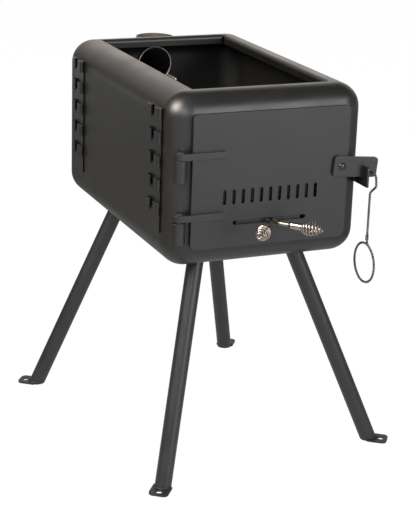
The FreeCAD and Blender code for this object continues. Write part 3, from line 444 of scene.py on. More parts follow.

# %% [markdown]
# ## Heat paint
# Nearly the whole stove wears one finish: a satin black stove paint with a
# fine sprayed grain. It is never pure black. Its gloss wanders a little from
# patch to patch, and it is painted lighter along sharp edges, partly as paint
# worn thin and partly as a painted highlight. Where a mask is given, it is
# painted darker and duller as painted shade.

# %% The stove paint
# Tone of the painted shade in the chamber, the duct and the flue socket's depth.
PAINTED_SHADE_TONE = (0.0042, 0.0044, 0.0048)
DARK_PATCH, PALE_PATCH, PIT, SPECK = 0.90, 1.08, 0.66, 1.55
SPECK_SHARE, COARSE_RISE = 0.35, 1.6
SPRAY = (0.36, 0.64)
COARSER, WEAR_WIDER = 0.5, 1.6


def heat_paint(
    name,
    tone,
    gloss,
    edge_tone=0.075,
    edge_share=0.45,
    edge_radius=0.0008,
    grain_per_metre=1100.0,
    painted_shade_on=None,
    painted_shade_rough=0.50,
    ior=1.65,
):
    """Satin black stove paint: mottled tone and gloss, sprayed grain, edges lighter as worn paint and
    painted highlight, painted shade where told.
    """

    def shade(times):
        return tuple(c * times for c in tone)

    made, tree, shader = new_finish(name)
    fine = use(tree, grain, Grain_Per_Metre=grain_per_metre, Mottle_Per_Metre=16.0)
    coarse = use(tree, grain, Grain_Per_Metre=grain_per_metre * COARSER)
    wear_and_highlight_mask = use(tree, wear_and_highlight, Radius=edge_radius * WEAR_WIDER, Gain=2.2, Breaks_Per_Metre=140.0)["Mask"]
    patches = spread(tree, fine["Mottle"], *MIDDLE)
    body = blend_colour(tree, patches, shade(DARK_PATCH), shade(PALE_PATCH))
    sprayed = blend_colour(tree, spread(tree, coarse["Height"], *SPRAY), shade(PIT), body)
    speck_share = sums(tree, "MULTIPLY", fine["Speck"], SPECK_SHARE)
    specked = blend_colour(tree, speck_share, sprayed, shade(SPECK))
    # Lighter edges: worn paint, and a painted highlight along them.
    colour = blend_colour(tree, sums(tree, "MULTIPLY", wear_and_highlight_mask, edge_share), specked, (edge_tone,) * 3)
    rough = spread(tree, fine["Mottle"], *WIDE, *gloss)
    # Painted shade: darker and duller on the faces that the mask picks.
    if painted_shade_on:
        painted_shade = painted_shade_on(tree)
        colour = blend_colour(tree, painted_shade, colour, PAINTED_SHADE_TONE)
        rough = add(tree, "ShaderNodeMix", {0: painted_shade, 2: rough, 3: painted_shade_rough}).outputs[0]
    rise = sums(tree, "MULTIPLY_ADD", coarse["Height"], COARSE_RISE, fine["Height"])
    soft = use(tree, eased, Radius=edge_radius)["Normal"]
    bumps = {"Strength": 0.40, "Distance": 0.00012, "Height": rise, "Normal": soft}
    normal = add(tree, "ShaderNodeBump", bumps).outputs[0]
    put(shader, tree, {"Base Color": colour, "Roughness": rough, "Normal": normal})
    shader.inputs["IOR"].default_value = ior
    return made


print("soot is", PAINTED_SHADE_TONE)

# %% [markdown]
# The door, the legs and the fittings were sprayed separately, so each has its
# own tone. The flue's rim has been burnt pale, and the feet are dull.

# %% The paints
SHELL_TONE, FITTING_TONE = (0.014, 0.0138, 0.0134), (0.0140, 0.0138, 0.0139)
DOOR_TONE = (0.0118, 0.0117, 0.0124)
LEG_TONE, FOOT_TONE, BURNT_TONE = (0.021,) * 3, (0.011,) * 3, (0.24, 0.215, 0.185)
SHELL_GLOSS = (0.34, 0.42)

# After the tone come the range of the gloss, and the tone, share and radius of the edges.
shell_paint = heat_paint("heat_paint_shell", SHELL_TONE, SHELL_GLOSS, painted_shade_on=chamber_mask)
duct_paint = heat_paint("heat_paint_duct", SHELL_TONE, SHELL_GLOSS, painted_shade_on=duct_mask, painted_shade_rough=0.95)
door_paint = heat_paint("heat_paint_door", DOOR_TONE, (0.40, 0.50), 0.06, 0.2, 0.0006)
# On the fittings and the hanger strips the lighter edge line is strong: worn paint and a painted highlight
# along their edges.
fitting_paint = heat_paint("heat_paint_fittings", FITTING_TONE, (0.28, 0.38), 0.15, 0.40, 0.0008)
strip_paint = heat_paint("heat_paint_strips", SHELL_TONE, (0.26, 0.36), 0.16, 0.50, 0.0006)
rivet_paint = heat_paint("heat_paint_rivet", FITTING_TONE, (0.18, 0.24), 0.12, 0.5, 0.0010)
burnt_paint = heat_paint(
    "heat_paint_burnt",
    BURNT_TONE,
    (0.26, 0.36),
    edge_tone=0.30,
    edge_share=0.6,
    edge_radius=0.0010,
    painted_shade_on=rim_mask,
    painted_shade_rough=0.95,
    ior=1.2,
)
foot_paint = heat_paint("heat_paint_feet", FOOT_TONE, (0.52, 0.62), 0.05, 0.2, 0.0006)
leg_paint = heat_paint("heat_paint_legs", LEG_TONE, (0.36, 0.46), grain_per_metre=900.0)
print("paints:", [m.name for m in bpy.data.materials if m.name.startswith("heat_paint")])

# %% [markdown]
# ## Bare metals
# The handles are springs of bright nickelled wire, and the latch pull is
# twisted plain wire. Wire is drawn through a die, which leaves fine lines along
# it: the wires carry their own UV map, with u along the wire, so the lines
# follow it.

# %% Drawn wire
streaks, given, out = group(
    "drawn_lines",
    [("Along", 40.0), ("Around", 900.0)],
    [("Lines", "NodeSocketFloat")],
)
uv = add(streaks, "ShaderNodeUVMap", uv_map="along_wire").outputs[0]
stretches = {"X": given["Along"], "Y": given["Around"], "Z": 1.0}
stretch = add(streaks, "ShaderNodeCombineXYZ", stretches).outputs[0]
place = vector_sums(streaks, "MULTIPLY", uv, stretch)
lines = add(streaks, "ShaderNodeTexNoise", {"Vector": place, "Scale": 1.0, "Detail": 3.0}).outputs[0]
put(out, streaks, {"Lines": spread(streaks, lines, *WIDE)})


def drawn_wire(name, deep, pale, gloss):
    """Bare drawn wire: tone and gloss follow fine lines along the wire."""
    made, tree, shader = new_finish(name)
    line = use(tree, streaks, Along=60.0, Around=2200.0)["Lines"]
    spots = use(tree, grain, Grain_Per_Metre=600.0, Mottle_Per_Metre=120.0)
    colour = blend_colour(tree, sums(tree, "MULTIPLY", line, spots["Mottle"]), deep, pale)
    bump = add(tree, "ShaderNodeBump", {"Strength": 0.15, "Distance": 0.00004, "Height": line})
    rough = spread(tree, spots["Mottle"], *WIDE, *gloss)
    put(shader, tree, {"Base Color": colour, "Roughness": rough, "Normal": bump.outputs[0]})
    shader.inputs["Metallic"].default_value = 1.0
    return made


# The deep tone, the pale tone and the range of the gloss.
nickel = drawn_wire("nickel_wire", (0.34, 0.285, 0.235), (0.84, 0.79, 0.73), (0.07, 0.16))
plain_wire = drawn_wire("plain_wire", (0.085, 0.078, 0.070), (0.38, 0.36, 0.33), (0.20, 0.32))
print("wires:", nickel.name, plain_wire.name)

# %% [markdown]
# The pins and spigots are bare steel, the shutters' rods are steel that heat
# has browned, and the sheet behind the door has kept its mill scale. The grate
# is sooty iron, and the flue's ring and stud are plated with zinc.

# %% Bare and scaled steel
WORN_SHARE, WORN_LIFT = 0.5, 1.6


def bare_metal(name, deep, pale, gloss, metallic=1.0, grain_per_metre=700.0, patch=25.0):
    """Bare or scaled steel: two tones in patches, with a fine rolled grain."""
    made, tree, shader = new_finish(name)
    fine = use(tree, grain, Grain_Per_Metre=grain_per_metre, Mottle_Per_Metre=patch)
    wear_and_highlight_mask = use(tree, wear_and_highlight, Radius=0.0010, Gain=2.0, Breaks_Per_Metre=200.0)["Mask"]
    body = blend_colour(tree, spread(tree, fine["Mottle"], *MIDDLE), deep, pale)
    rubbed = tuple(min(1.0, c * WORN_LIFT) for c in pale)
    colour = blend_colour(tree, sums(tree, "MULTIPLY", wear_and_highlight_mask, WORN_SHARE), body, rubbed)
    soft = use(tree, eased, Radius=0.0005)["Normal"]
    bumps = {"Strength": 0.3, "Distance": 0.0001, "Height": fine["Height"], "Normal": soft}
    normal = add(tree, "ShaderNodeBump", bumps).outputs[0]
    rough = spread(tree, fine["Mottle"], *WIDE, *gloss)
    put(shader, tree, {"Base Color": colour, "Roughness": rough, "Normal": normal})
    shader.inputs["Metallic"].default_value = metallic
    return made


zinc = bare_metal(
    "bright_zinc", (0.58, 0.57, 0.55), (0.82, 0.81, 0.79), (0.34, 0.50), metallic=0.55, patch=90.0
)
rod_steel = bare_metal("browned_steel", (0.20, 0.178, 0.152), (0.37, 0.335, 0.29), (0.26, 0.40), patch=120.0)
bare_steel = bare_metal("bare_steel", (0.42, 0.41, 0.40), (0.62, 0.61, 0.59), (0.22, 0.36))
scaled_steel = bare_metal(
    "scaled_steel", (0.030, 0.031, 0.034), (0.060, 0.061, 0.064), (0.42, 0.60), metallic=0.35
)
sooty_iron = bare_metal(
    "sooty_iron",
    (0.016, 0.015, 0.014),
    (0.040, 0.036, 0.032),
    (0.70, 0.90),
    metallic=0.1,
    grain_per_metre=380.0,
    patch=40.0,
)
print("metals:", [m.name for m in (zinc, rod_steel, bare_steel, scaled_steel, sooty_iron)])

# %% [markdown]
# ## Dressing the CAD pieces
# Most CAD pieces have the right shape already and only need a finish. They are
# listed by finish, and the last line prints any that was forgotten.

# %% Finishes on the CAD nodes
CORNERS = ("front_left", "front_right", "back_left", "back_right")
LEVELS = ("upper", "lower")
SIDES = ("left", "right")
DRESS = {
    shell_paint: ["firebox_shell", "door_frame", "flue_stub", "flue_base_plate"],
    duct_paint: ["flue_duct"],
    strip_paint: ["hanger_strip_front", "hanger_strip_rear"],
    burnt_paint: ["flue_socket"],
    rivet_paint: ["latch_rivet"],
    door_paint: ["door_plate"],
    fitting_paint: ["latch_bar", "latch_keeper"]
    + [f"hinge_{piece}_{level}" for piece in ("barrel", "strap") for level in LEVELS],
    rod_steel: [f"shutter_rod_{side}" for side in SIDES],
    leg_paint: [f"leg_{corner}" for corner in CORNERS],
    foot_paint: [f"foot_tab_{corner}" for corner in CORNERS],
    bare_steel: ["liner_standoffs"]
    + [f"hinge_pin_{level}" for level in LEVELS]
    + [f"leg_spigot_{corner}" for corner in CORNERS],
    scaled_steel: ["door_liner"]
    + [f"shutter_plate_{side}" for side in SIDES]
    + [f"shutter_rail_{level}" for level in LEVELS],
    sooty_iron: ["grate_bars", "grate_ties"] + [f"grate_rail_{side}" for side in SIDES],
    nickel: [f"shutter_handle_{side}" for side in SIDES],
    plain_wire: ["latch_pull"],
}
for finish, names in DRESS.items():
    for name in names:
        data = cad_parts[name].data
        data.materials.clear()
        data.materials.append(finish)
dressed = {name for names in DRESS.values() for name in names}
print("dressed", len(dressed), "left over", sorted(set(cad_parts) - dressed))

# %% [markdown]
# ## Round wire carried along a path
# Springs, twisted wire and weld beads are all one idea: a ring carried along a
# path. The ring needs two directions square to the path, and they come from a
# leaning direction that the caller knows, such as "away from the spring's
# axis". Everything is worked out for all rings at once, as arrays. The faces
# come first: they depend only on how many rings and points there are.


# %% Faces of a tube
def unit(directions):
    """Each vector divided by its length."""
    return directions / np.linalg.norm(directions, axis=-1, keepdims=True)


def travelled(points):
    """Length of the path from its start to each of its points."""
    steps = np.linalg.norm(np.diff(points, axis=0), axis=1)
    return np.concatenate([[0.0], np.cumsum(steps)])


def tube_faces(run, sides, across):
    """Faces and UV of rings whose centres stand at the lengths in run, and of a fan at both ends.

    Point j of ring i has number i sides + j, and the two end points come
    last. On the UV map, u is the length run and v is j times across.
    """
    rows = len(run)
    i, j = np.meshgrid(np.arange(rows - 1), np.arange(sides), indexing="ij")
    k = (j + 1) % sides
    below, above = i * sides, (i + 1) * sides
    quads = np.stack([below + j, below + k, above + k, above + j], axis=-1).reshape(-1, 4)
    quad_u = np.stack([run[i], run[i], run[i + 1], run[i + 1]], -1)
    quad_v = np.stack([j, j + 1, j + 1, j], -1) * across
    j = np.arange(sides)
    k = (j + 1) % sides
    first, last, top = rows * sides, rows * sides + 1, (rows - 1) * sides
    head = np.stack([np.full(sides, first), k, j], -1)
    tail = np.stack([np.full(sides, last), top + j, top + k], -1)
    head_v = np.stack([j + 0.5, j + 1, j], -1) * across
    tail_v = np.stack([j + 0.5, j, j + 1], -1) * across
    head_uv = np.stack([np.full((sides, 3), run[0]), head_v], -1)
    tail_uv = np.stack([np.full((sides, 3), run[-1]), tail_v], -1)
    uv = [corner.reshape(-1, 2) for corner in (np.stack([quad_u, quad_v], -1), head_uv, tail_uv)]
    return quads.tolist() + head.tolist() + tail.tolist(), np.concatenate(uv)


print("faces of 3 rings of 8 points:", len(tube_faces(np.arange(3.0), 8, 1.0)[0]))

# %% [markdown]
# The points follow. A dome closes each end, so that no wire ends in a flat cut.


# %% Points of a tube, and pieces
def tube(path, lean, radius, sides=14, dome=4):
    """A ring carried along a path, closed by a dome at both ends.

    At path point p with direction t: side = lean less its part along t, made
    unit, and other = t x side. The ring point at angle a is
    p + r (side cos a + other sin a). Ring k of a dome, at angle d, stands
    r sin d beyond the end and has radius r cos d, and one point closes it.
    """
    path = np.asarray(path, float)
    radius = np.broadcast_to(np.asarray(radius, float), len(path))
    way = unit(np.gradient(path, axis=0))
    lean = np.broadcast_to(np.asarray(lean, float), path.shape)
    bend = np.linspace(0, np.pi / 2, dome + 1)[1:-1]
    head = path[0] - way[0] * (radius[0] * np.sin(bend[::-1]))[:, None]
    tail = path[-1] + way[-1] * (radius[-1] * np.sin(bend))[:, None]
    line = np.concatenate([head, path, tail])
    size = np.concatenate([radius[0] * np.cos(bend[::-1]), radius, radius[-1] * np.cos(bend)])
    many = len(bend)
    way = np.concatenate([np.repeat(way[:1], many, 0), way, np.repeat(way[-1:], many, 0)])
    lean = np.concatenate([np.repeat(lean[:1], many, 0), lean, np.repeat(lean[-1:], many, 0)])
    side = unit(lean - way * np.sum(lean * way, axis=1, keepdims=True))
    other = np.cross(way, side)
    angle = np.arange(sides) * (2 * np.pi / sides)
    ring = side[:, None] * np.cos(angle)[None, :, None] + other[:, None] * np.sin(angle)[None, :, None]
    grid = line[:, None] + ring * size[:, None, None]
    ends = np.stack([path[0] - way[0] * radius[0], path[-1] + way[-1] * radius[-1]])
    faces, uv = tube_faces(travelled(line), sides, 2 * np.pi * np.max(radius) / sides)
    return np.concatenate([grid.reshape(-1, 3), ends]), faces, uv


def make_piece(name, surfaces, finish, body, stands_for=()):
    """Joins surfaces (points, faces, uv) into one smooth mesh that rides on a body."""
    starts = np.cumsum([0] + [len(points) for points, _, _ in surfaces])
    faces = [[int(c + start) for c in face] for (_, fs, _), start in zip(surfaces, starts) for face in fs]
    mesh = bpy.data.meshes.new(name)
    mesh.from_pydata(np.concatenate([points for points, _, _ in surfaces]).tolist(), [], faces)
    uv = mesh.uv_layers.new(name="along_wire")
    uv.data.foreach_set("uv", np.concatenate([uvs for _, _, uvs in surfaces]).ravel())
    mesh.shade_smooth()
    mesh.materials.append(finish)
    made = bpy.data.objects.new(name, mesh)
    scene.collection.objects.link(made)
    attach(made, body)
    if stands_for:
        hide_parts(*stands_for)
    print(name, "has", len(mesh.polygons), "faces")


UP, RIGHT = (0.0, 0.0, 1.0), (1.0, 0.0, 0.0)
print("tube maker ready")

# %% [markdown]
# ## The coil handles
# Each air shutter has a bent rod with a spring handle, a cool grip made of wire
# in the open air. The wire starts close wound on the rod's tang, swells to a
# bulb and closes at the tip. Radius and travel are functions of the turn
# count, so the spring is one line of numpy per quantity.

# %% Wound wire
WIRE, NECK_WIRE, NECK_TAPER = 1.25, 1.42, 6
NECK_RADIUS, NECK_PITCH, NECK_TURNS = 3.4, 2.95, 4
BULB_SWELL, BULB_PITCH, BULB_TURNS, BULB_SKEW, TIP_RADIUS = 6.6, 4.5, 7, 0.8, 2.6
ROD_HALF_GAP, ROD_CORNER_Y, ROD_HEIGHT, ROD_TO_COIL, LEAD_IN = 5.0, -262.2, 404.0, 19.0, 4.8
ROD_SPLAY = math.radians(41)
STEPS_PER_TURN = 44


def handle_axis(side):
    """Where a handle's axis leaves its rod, on the left (-1) or right (+1), and the axis's direction."""
    along = np.array([side * math.sin(ROD_SPLAY), -math.cos(ROD_SPLAY), 0.0])
    return np.array([side * ROD_HALF_GAP, ROD_CORNER_Y, ROD_HEIGHT]) + along * ROD_TO_COIL, along


def coil_handle(side):
    """Wire of a handle on the left (-1) or right (+1).

    After t turns the radius is the neck's up to NECK_TURNS, and then, with
    s the share of the bulb done, neck to tip + swell sin(pi s^skew). The
    point is base + along travel + radius (across cos 2 pi t + up sin 2 pi t).
    """
    base, along = handle_axis(side)
    up = np.array(UP)
    across = np.cross(up, along)
    all_turns = NECK_TURNS + BULB_TURNS
    turns = np.linspace(0.0, all_turns, all_turns * STEPS_PER_TURN + 1)
    share = np.clip((turns - NECK_TURNS) / BULB_TURNS, 0, 1)
    swell = BULB_SWELL * np.sin(np.pi * share**BULB_SKEW)
    radius = NECK_RADIUS + (TIP_RADIUS - NECK_RADIUS) * share + swell
    travel = LEAD_IN + np.minimum(turns, NECK_TURNS) * NECK_PITCH + share * BULB_TURNS * BULB_PITCH
    angle = 2 * np.pi * turns
    out = across * np.cos(angle)[:, None] + up * np.sin(angle)[:, None]
    line = base + along * travel[:, None] + out * radius[:, None]
    wire = WIRE + (NECK_WIRE - WIRE) * np.clip(1 - share * NECK_TAPER, 0, 1)
    return tube(line * MM, out, wire * MM, sides=16)


print("a handle's wire has", len(coil_handle(1)[0]), "points")

# %% [markdown]
# A smooth sleeve covers the wound neck, and a dark band where it meets the
# rod is painted shade: it stands for the dark gap at that joint. Both are turned
# about the handle's axis.

# %% Sleeves, bands and the handles
SLEEVE_RADIUS, SLEEVE_EDGE, SLEEVE_END = 5.0, 0.8, 17.4
BAND_RADIUS, BAND_EDGE, BAND_START, BAND_END = 5.15, 0.5, -1.8, 0.2
FACE_CORE, FACE_STEP = 0.3, 0.01


def sleeve(side, start, end, radius, edge):
    """A turned sleeve on a handle's axis, between two distances along it, with rounded edges.

    Near an end, at angle a of its rounding, the sleeve stands edge (1 - cos a)
    inside the end and its radius is short of the full one by edge (1 - sin a).
    The end face grows from a small core, with a slight step to its rim.
    """
    base, along = handle_axis(side)
    bend = np.linspace(0, np.pi / 2, 6)
    inset = np.concatenate([[0.0, FACE_STEP], edge * (1 - np.cos(bend)) + 2 * FACE_STEP])
    size = np.concatenate([[FACE_CORE, radius - edge - FACE_CORE], radius - edge * (1 - np.sin(bend))])
    travel = np.concatenate([start + inset, end - inset[::-1]])
    line = base + along * travel[:, None]
    return tube(line * MM, UP, np.concatenate([size, size[::-1]]) * MM, sides=32)


for label, side in zip(SIDES, (-1, 1)):
    make_piece(
        f"coil_handle_{label}",
        [coil_handle(side), sleeve(side, BAND_END, SLEEVE_END, SLEEVE_RADIUS, SLEEVE_EDGE)],
        nickel,
        f"{label}_shutter",
        [f"shutter_handle_{label}"],
    )
    # A dark band painted as the shade in the gap where the neck meets the rod.
    make_piece(
        f"handle_shade_band_{label}",
        [sleeve(side, BAND_START, BAND_END, BAND_RADIUS, BAND_EDGE)],
        sooty_iron,
        f"{label}_shutter",
    )

# %% [markdown]
# ## The latch pull
# The pull is two wires twisted together, bent into a hook at the top and a
# finger ring at the bottom. A path through the bends is needed first: straight
# runs joined by arcs, sampled evenly.


# %% The pull's path
def rounded_line(corners, bends, step=0.5):
    """Straight runs through corners, each inner corner rounded by an arc of its bend radius.

    At corner c between unit ways a and b, h is half the turn. The arc's
    centre stands r / cos(h) from c along the inward unit way b - a, and its
    point at angle w is centre - inward r cos w + (a + b made unit) r sin w.
    """
    pieces = [corners[:1]]
    for corner, before, after, radius in zip(corners[1:-1], corners[:-2], corners[2:], bends):
        a, b = unit(corner - before), unit(after - corner)
        turn = math.acos(float(np.clip(a @ b, -1, 1)))
        inward = unit(b - a)
        centre = corner + inward * (radius / math.cos(turn / 2))
        bow = np.linspace(-turn / 2, turn / 2, max(5, int(radius * turn / step) + 2))[:, None]
        pieces.append(centre - inward * radius * np.cos(bow) + unit(a + b) * radius * np.sin(bow))
    pieces.append(corners[-1:])
    return np.concatenate(pieces)


def even(points, step):
    """The same path with points a fixed step apart, by straight interpolation along its length."""
    run = travelled(points)
    new = np.linspace(0, run[-1], int(run[-1] / step) + 1)
    return np.stack([np.interp(new, run, points[:, axis]) for axis in range(3)], -1)


def at_x(x, y, z):
    """Points in one upright plane, from arrays of y and z."""
    return np.stack([np.full_like(y, x), y, z], -1)


PULL_X, SHANK_Y = 163.122, -244.7
HOOK = [(-236.9, 470.75), (-236.9, 463.247), (-258.7, 463.247), (-262.2, 445.75), (SHANK_Y, 432.25)]
HOOK_BENDS = [2.6, 7, 7, 7]
RING_Y, RING_Z, RING_R, RING_JOIN, RING_BEND = -240.951, 321.247, 30.2, math.radians(20), 10.0
RING_STEPS, FOOT_STEPS, OVERLAP = 260, 12, 0.6
PATH_STEP = 0.45

foot_z = RING_Z + RING_R * math.cos(RING_JOIN) + RING_BEND * math.cos(RING_JOIN)
shank = rounded_line(np.array([(PULL_X, y, z) for y, z in HOOK + [(SHANK_Y, foot_z)]]), HOOK_BENDS)
swing = np.linspace(0, np.pi / 2 - RING_JOIN, FOOT_STEPS)[1:]
foot = at_x(PULL_X, SHANK_Y - RING_BEND * (1 - np.cos(swing)), foot_z - RING_BEND * np.sin(swing))
round_way = np.linspace(RING_JOIN, 2 * np.pi + OVERLAP * RING_JOIN, RING_STEPS)[1:]
ring = at_x(PULL_X, RING_Y - RING_R * np.sin(round_way), RING_Z + RING_R * np.cos(round_way))
pull_line = even(np.concatenate([shank, foot, ring]), PATH_STEP)
print("the pull's wire is", round(travelled(pull_line)[-1]), "mm long")

# %% [markdown]
# Each of the two wires is a helix about that path. A thin wire is whipped
# round the foot of the shank, where the ring's end is caught.

# %% Twisted pull
STRAND, TWIST = 1.0, 7.5
WHIP_WIRE, WHIP_TURNS, WHIP_TOP, WHIP_FOOT, WHIP_STEPS = 0.55, 7, 7.0, -1.0, 24


def strand(line, phase, offset, thick, pitch):
    """One wire of a twist: it circles the path once per pitch, at a fixed offset from it."""
    way = unit(np.gradient(line, axis=0))
    side = np.array(RIGHT)
    other = np.cross(way, side)
    angle = 2 * np.pi * travelled(line) / pitch + phase
    out = side * np.cos(angle)[:, None] + other * np.sin(angle)[:, None]
    return tube((line + out * offset) * MM, out, thick * MM, sides=10)


def whipping():
    """Thin wire wound tightly round the shank's foot.

    At turn t it stands at its share of the way down and circles the shank
    at the twist's own radius.
    """
    share = np.linspace(0, 1, WHIP_TURNS * WHIP_STEPS + 1)
    angle = 2 * np.pi * WHIP_TURNS * share
    out = np.stack([np.cos(angle), np.sin(angle), 0 * angle], -1)
    height = foot_z + WHIP_TOP + (WHIP_FOOT - WHIP_TOP) * share
    axis = at_x(PULL_X, np.full_like(share, SHANK_Y), height)
    return tube((axis + out * 2 * STRAND) * MM, out, WHIP_WIRE * MM, sides=8)


make_piece(
    "twisted_pull",
    [strand(pull_line, phase, STRAND, STRAND, TWIST) for phase in (0.0, math.pi)] + [whipping()],
    plain_wire,
    "pull",
    ["latch_pull"],
)

# %% [markdown]
# ## Welds
# The fittings are welded to the box, and a weld reads as a row of small
# ripples along a seam. Each bead is a tube that swells once per ripple, laid
# in the corner between two pieces. Seams follow the pieces' own boxes, so the
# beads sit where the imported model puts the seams.

# %% Weld beads on the front
RIPPLE, RIPPLE_DEPTH, BEAD_STEP = 2.4, 0.18, 0.4
BARREL_SEAM, BARREL_ASIDE, BARREL_SHORT = 2.3, 5.6, 2.5
KEEPER_SEAM, KEEPER_OFF, KEEPER_SHORT = 1.7, 1.0, 2
ROLL = EDGE_RADIUS / MM


def bead(points, lean, size):
    """A weld bead along points: after run s its radius is size (1 - depth |sin(pi s / ripple)|)."""
    line = even(np.array(points, float), BEAD_STEP)
    swell = 1 - RIPPLE_DEPTH * np.abs(np.sin(np.pi * travelled(line) / RIPPLE))
    return tube(line * MM, lean, size * swell * MM, sides=10, dome=3)


def box_mm(name):
    """A node's lowest and highest corner in millimetres."""
    return [np.array(corner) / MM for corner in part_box(name)]


shell_low, shell_high = box_mm("firebox_shell")


def barrel_bead(name):
    """Fills the corner left of a hinge barrel, where it touches the box's rolled front corner."""
    low, high = box_mm(name)
    axis, radius = (low + high)[:2] / 2, (high - low)[0] / 2
    toward = unit(shell_low[:2] + ROLL - axis)
    spot = axis + toward * radius + np.array([-toward[1], toward[0]]) * BARREL_ASIDE
    return bead([(*spot, low[2] + BARREL_SHORT), (*spot, high[2] - BARREL_SHORT)], RIGHT, BARREL_SEAM)


def keeper_bead(face, aside):
    """Runs up one face of the keeper plate where it meets the rolled front corner."""
    low, high = box_mm("latch_keeper")
    across = face - (shell_high[0] - ROLL)
    y = shell_low[1] + ROLL - math.sqrt((ROLL + KEEPER_OFF) ** 2 - (across + aside) ** 2)
    ends = low[2] + KEEPER_SHORT, high[2] - KEEPER_SHORT
    return bead([(face + aside, y, z) for z in ends], RIGHT, KEEPER_SEAM)


keeper_low, keeper_high = box_mm("latch_keeper")
seams = [barrel_bead(f"hinge_barrel_{level}") for level in LEVELS]
seams += [keeper_bead(keeper_low[0], -KEEPER_OFF), keeper_bead(keeper_high[0], KEEPER_OFF)]
make_piece("weld_beads_front", seams, fitting_paint, "stove")

# %% [markdown]
# The duct behind the box is welded all round: up both sides, where the seam
# follows the rolled top edge of the back wall, along its foot and its head,
# and to the round socket.

# %% Weld beads behind
STAND_OFF, SEAM, CLIMB_STEPS = 0.9, 1.9, 14
SOCKET_FIRST, SOCKET_LAST, SOCKET_STEPS = 184, 356, 90
BASE_OFF, BASE_SEAM = 0.2, 1.2

duct_low, duct_high = box_mm("flue_duct")
socket_low, socket_high = box_mm("flue_socket")
socket_middle, socket_radius = (socket_low + socket_high) / 2, (socket_high - socket_low)[0] / 2
roll_y, roll_z = shell_high[1] - ROLL, shell_high[2] - ROLL
lift = np.linspace(0, math.asin((duct_high[2] - roll_z) / ROLL), CLIMB_STEPS)
climb_y = np.concatenate([[roll_y + ROLL], roll_y + ROLL * np.cos(lift)]) + STAND_OFF
climb_z = np.concatenate([[duct_low[2]], roll_z + ROLL * np.sin(lift)])


def round_socket(z, radius, first, last):
    """Points on a circle about the socket, between two angles in degrees."""
    angle = np.radians(np.linspace(first, last, SOCKET_STEPS))
    x, y = socket_middle[0] + radius * np.cos(angle), socket_middle[1] + radius * np.sin(angle)
    return np.stack([x, y, np.full_like(x, z)], -1)


seams = []
for x in (duct_low[0] - STAND_OFF, duct_high[0] + STAND_OFF):
    seams.append(bead(at_x(x, climb_y, climb_z), RIGHT, SEAM))
for y, z in ((climb_y[0], duct_low[2] - STAND_OFF), (climb_y[-1], duct_high[2] + STAND_OFF)):
    seams.append(bead([(duct_low[0], y, z), (duct_high[0], y, z)], UP, SEAM))
for x in (socket_middle[0] - socket_radius - STAND_OFF, socket_middle[0] + socket_radius + STAND_OFF):
    y = duct_high[1] + STAND_OFF
    seams.append(bead([(x, y, duct_low[2]), (x, y, duct_high[2])], RIGHT, SEAM))
for z in (duct_low[2] - STAND_OFF, duct_high[2] + STAND_OFF):
    seams.append(bead(round_socket(z, socket_radius + STAND_OFF, SOCKET_FIRST, SOCKET_LAST), UP, SEAM))
seams.append(bead(round_socket(socket_low[2], socket_radius + BASE_OFF, 0, 360), UP, BASE_SEAM))
make_piece("weld_beads_behind", seams, duct_paint, "stove")

# %% [markdown]
# Each foot tab is welded to its leg over the outer half of the tube, where the
# slanted tube cuts the tab in an ellipse. The leg's own box gives its slant.

# %% Weld beads on the feet
LEG_RADIUS = 12.7
FOOT_SEAM, FOOT_OFF, FOOT_LIFT = 1.5, 0.4, 0.6
FOOT_HALF_TURN, FOOT_POINTS = 78, 60
RUN_ROUNDS = 8


def solved_run(size, tall):
    """Sideways runs of a slanted tube from its box, by iteration.

    The box is size = run + 2 r sqrt(1 + (run / tall)^2) across.
    """
    run = size - 2 * LEG_RADIUS
    for _ in range(RUN_ROUNDS):
        run = size - 2 * LEG_RADIUS * np.sqrt(1 + (run / tall) ** 2)
    return run


def foot_bead(corner):
    """Half an ellipse about a leg at the top of its foot tab, on the tab's side.

    With the lean k (sideways run per rise) towards the box, the tube of
    radius r cuts a level plane in semi-axes r sqrt(1 + k^2) and r.
    """
    leg_low, leg_high = box_mm(f"leg_{corner}")
    tall = leg_high[2] - leg_low[2]
    side = np.array([-1.0 if "left" in corner else 1.0, -1.0 if "front" in corner else 1.0])
    run = solved_run((leg_high - leg_low)[:2], tall)
    lean = np.linalg.norm(run) / tall
    foot_corner = np.where(side > 0, leg_high[:2], leg_low[:2])
    reach = LEG_RADIUS * np.sqrt(1 + (run / tall) ** 2)
    level = box_mm(f"foot_tab_{corner}")[1][2] + FOOT_LIFT
    middle = foot_corner - side * reach - side * run * (level / tall)
    along = side * run / np.linalg.norm(run)
    across = np.array([-along[1], along[0]])
    angle = np.radians(np.linspace(-FOOT_HALF_TURN, FOOT_HALF_TURN, FOOT_POINTS))[:, None]
    grown = LEG_RADIUS + FOOT_OFF
    spots = middle + along * grown * math.sqrt(1 + lean**2) * np.cos(angle) + across * grown * np.sin(angle)
    return bead(np.concatenate([spots, np.full((FOOT_POINTS, 1), level)], 1), UP, FOOT_SEAM)


seams = [foot_bead(corner) for corner in CORNERS]
make_piece("weld_beads_feet", seams, foot_paint, "stove")

# %% [markdown]
# ## Inside the chamber
# The flue stub's cut end is bright and catches the light as a thin ring: a
# round wire carried about a circle.

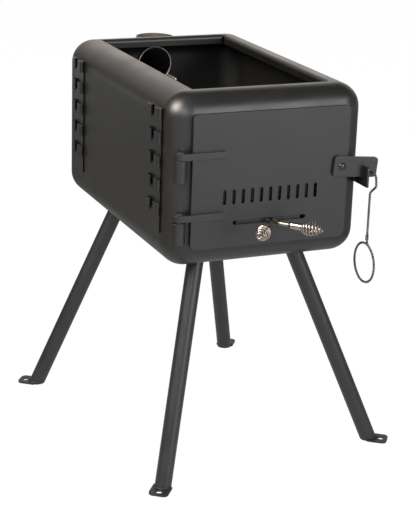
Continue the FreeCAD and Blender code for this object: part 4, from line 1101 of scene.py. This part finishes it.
# %% Flue ring
LIP_THICK, LIP_SIDES, LIP_STEPS = 1.05, 12, 96


def round_ring(middle, radius, thick, sides, steps):
    """A ring about the Y axis: both directions of the grid close on themselves.

    Point (a, b) is middle + (R + r cos b)(cos a, 0, sin a) + r sin b along Y.
    """
    i, j = np.meshgrid(np.arange(steps), np.arange(sides), indexing="ij")
    a, b = i * 2 * np.pi / steps, j * 2 * np.pi / sides
    out = radius + thick * np.cos(b)
    points = np.stack([out * np.cos(a), thick * np.sin(b), out * np.sin(a)], -1) + middle
    n, k = (i + 1) % steps, (j + 1) % sides
    quads = np.stack([i * sides + j, n * sides + j, n * sides + k, i * sides + k], -1).reshape(-1, 4)
    around = np.stack([i, i + 1, i + 1, i], -1) * (2 * np.pi * radius / steps)
    across = np.stack([j, j, j + 1, j + 1], -1) * (2 * np.pi * thick / sides)
    uv = np.stack([around, across], -1).reshape(-1, 2)
    return points.reshape(-1, 3) * MM, quads.tolist(), uv * MM


stub_low, stub_high = box_mm("flue_stub")
stub_middle, stub_radius = (stub_low + stub_high) / 2, (stub_high - stub_low)[0] / 2
ring_place = np.array([stub_middle[0], stub_low[1], stub_middle[2]])
lip = round_ring(ring_place, stub_radius - LIP_THICK, LIP_THICK, LIP_SIDES, LIP_STEPS)
make_piece("flue_lip", [lip], zinc, "stove")

# %% [markdown]
# A short plated stud stands in the back wall below the ring. It is a threaded
# rod: its radius follows a fine saw-tooth along its length.

# %% Stud
STUD_X, STUD_Z, STUD_RADIUS, STUD_LENGTH = 25.5, 520.6, 2.2, 37.5
THREAD, THREAD_DEPTH, STUD_STEPS = 0.8, 0.14, 375

stud_end = shell_high[1] - WALL / MM
stud_y = np.linspace(stud_end, stud_end - STUD_LENGTH, STUD_STEPS)
thread = STUD_RADIUS * (1 - THREAD_DEPTH * np.abs((stud_y / THREAD) % 1.0 - 0.5))
stud_path = at_x(STUD_X, stud_y, np.full_like(stud_y, STUD_Z))
make_piece("flue_stud", [tube(stud_path * MM, UP, thread * MM, sides=12)], zinc, "stove")
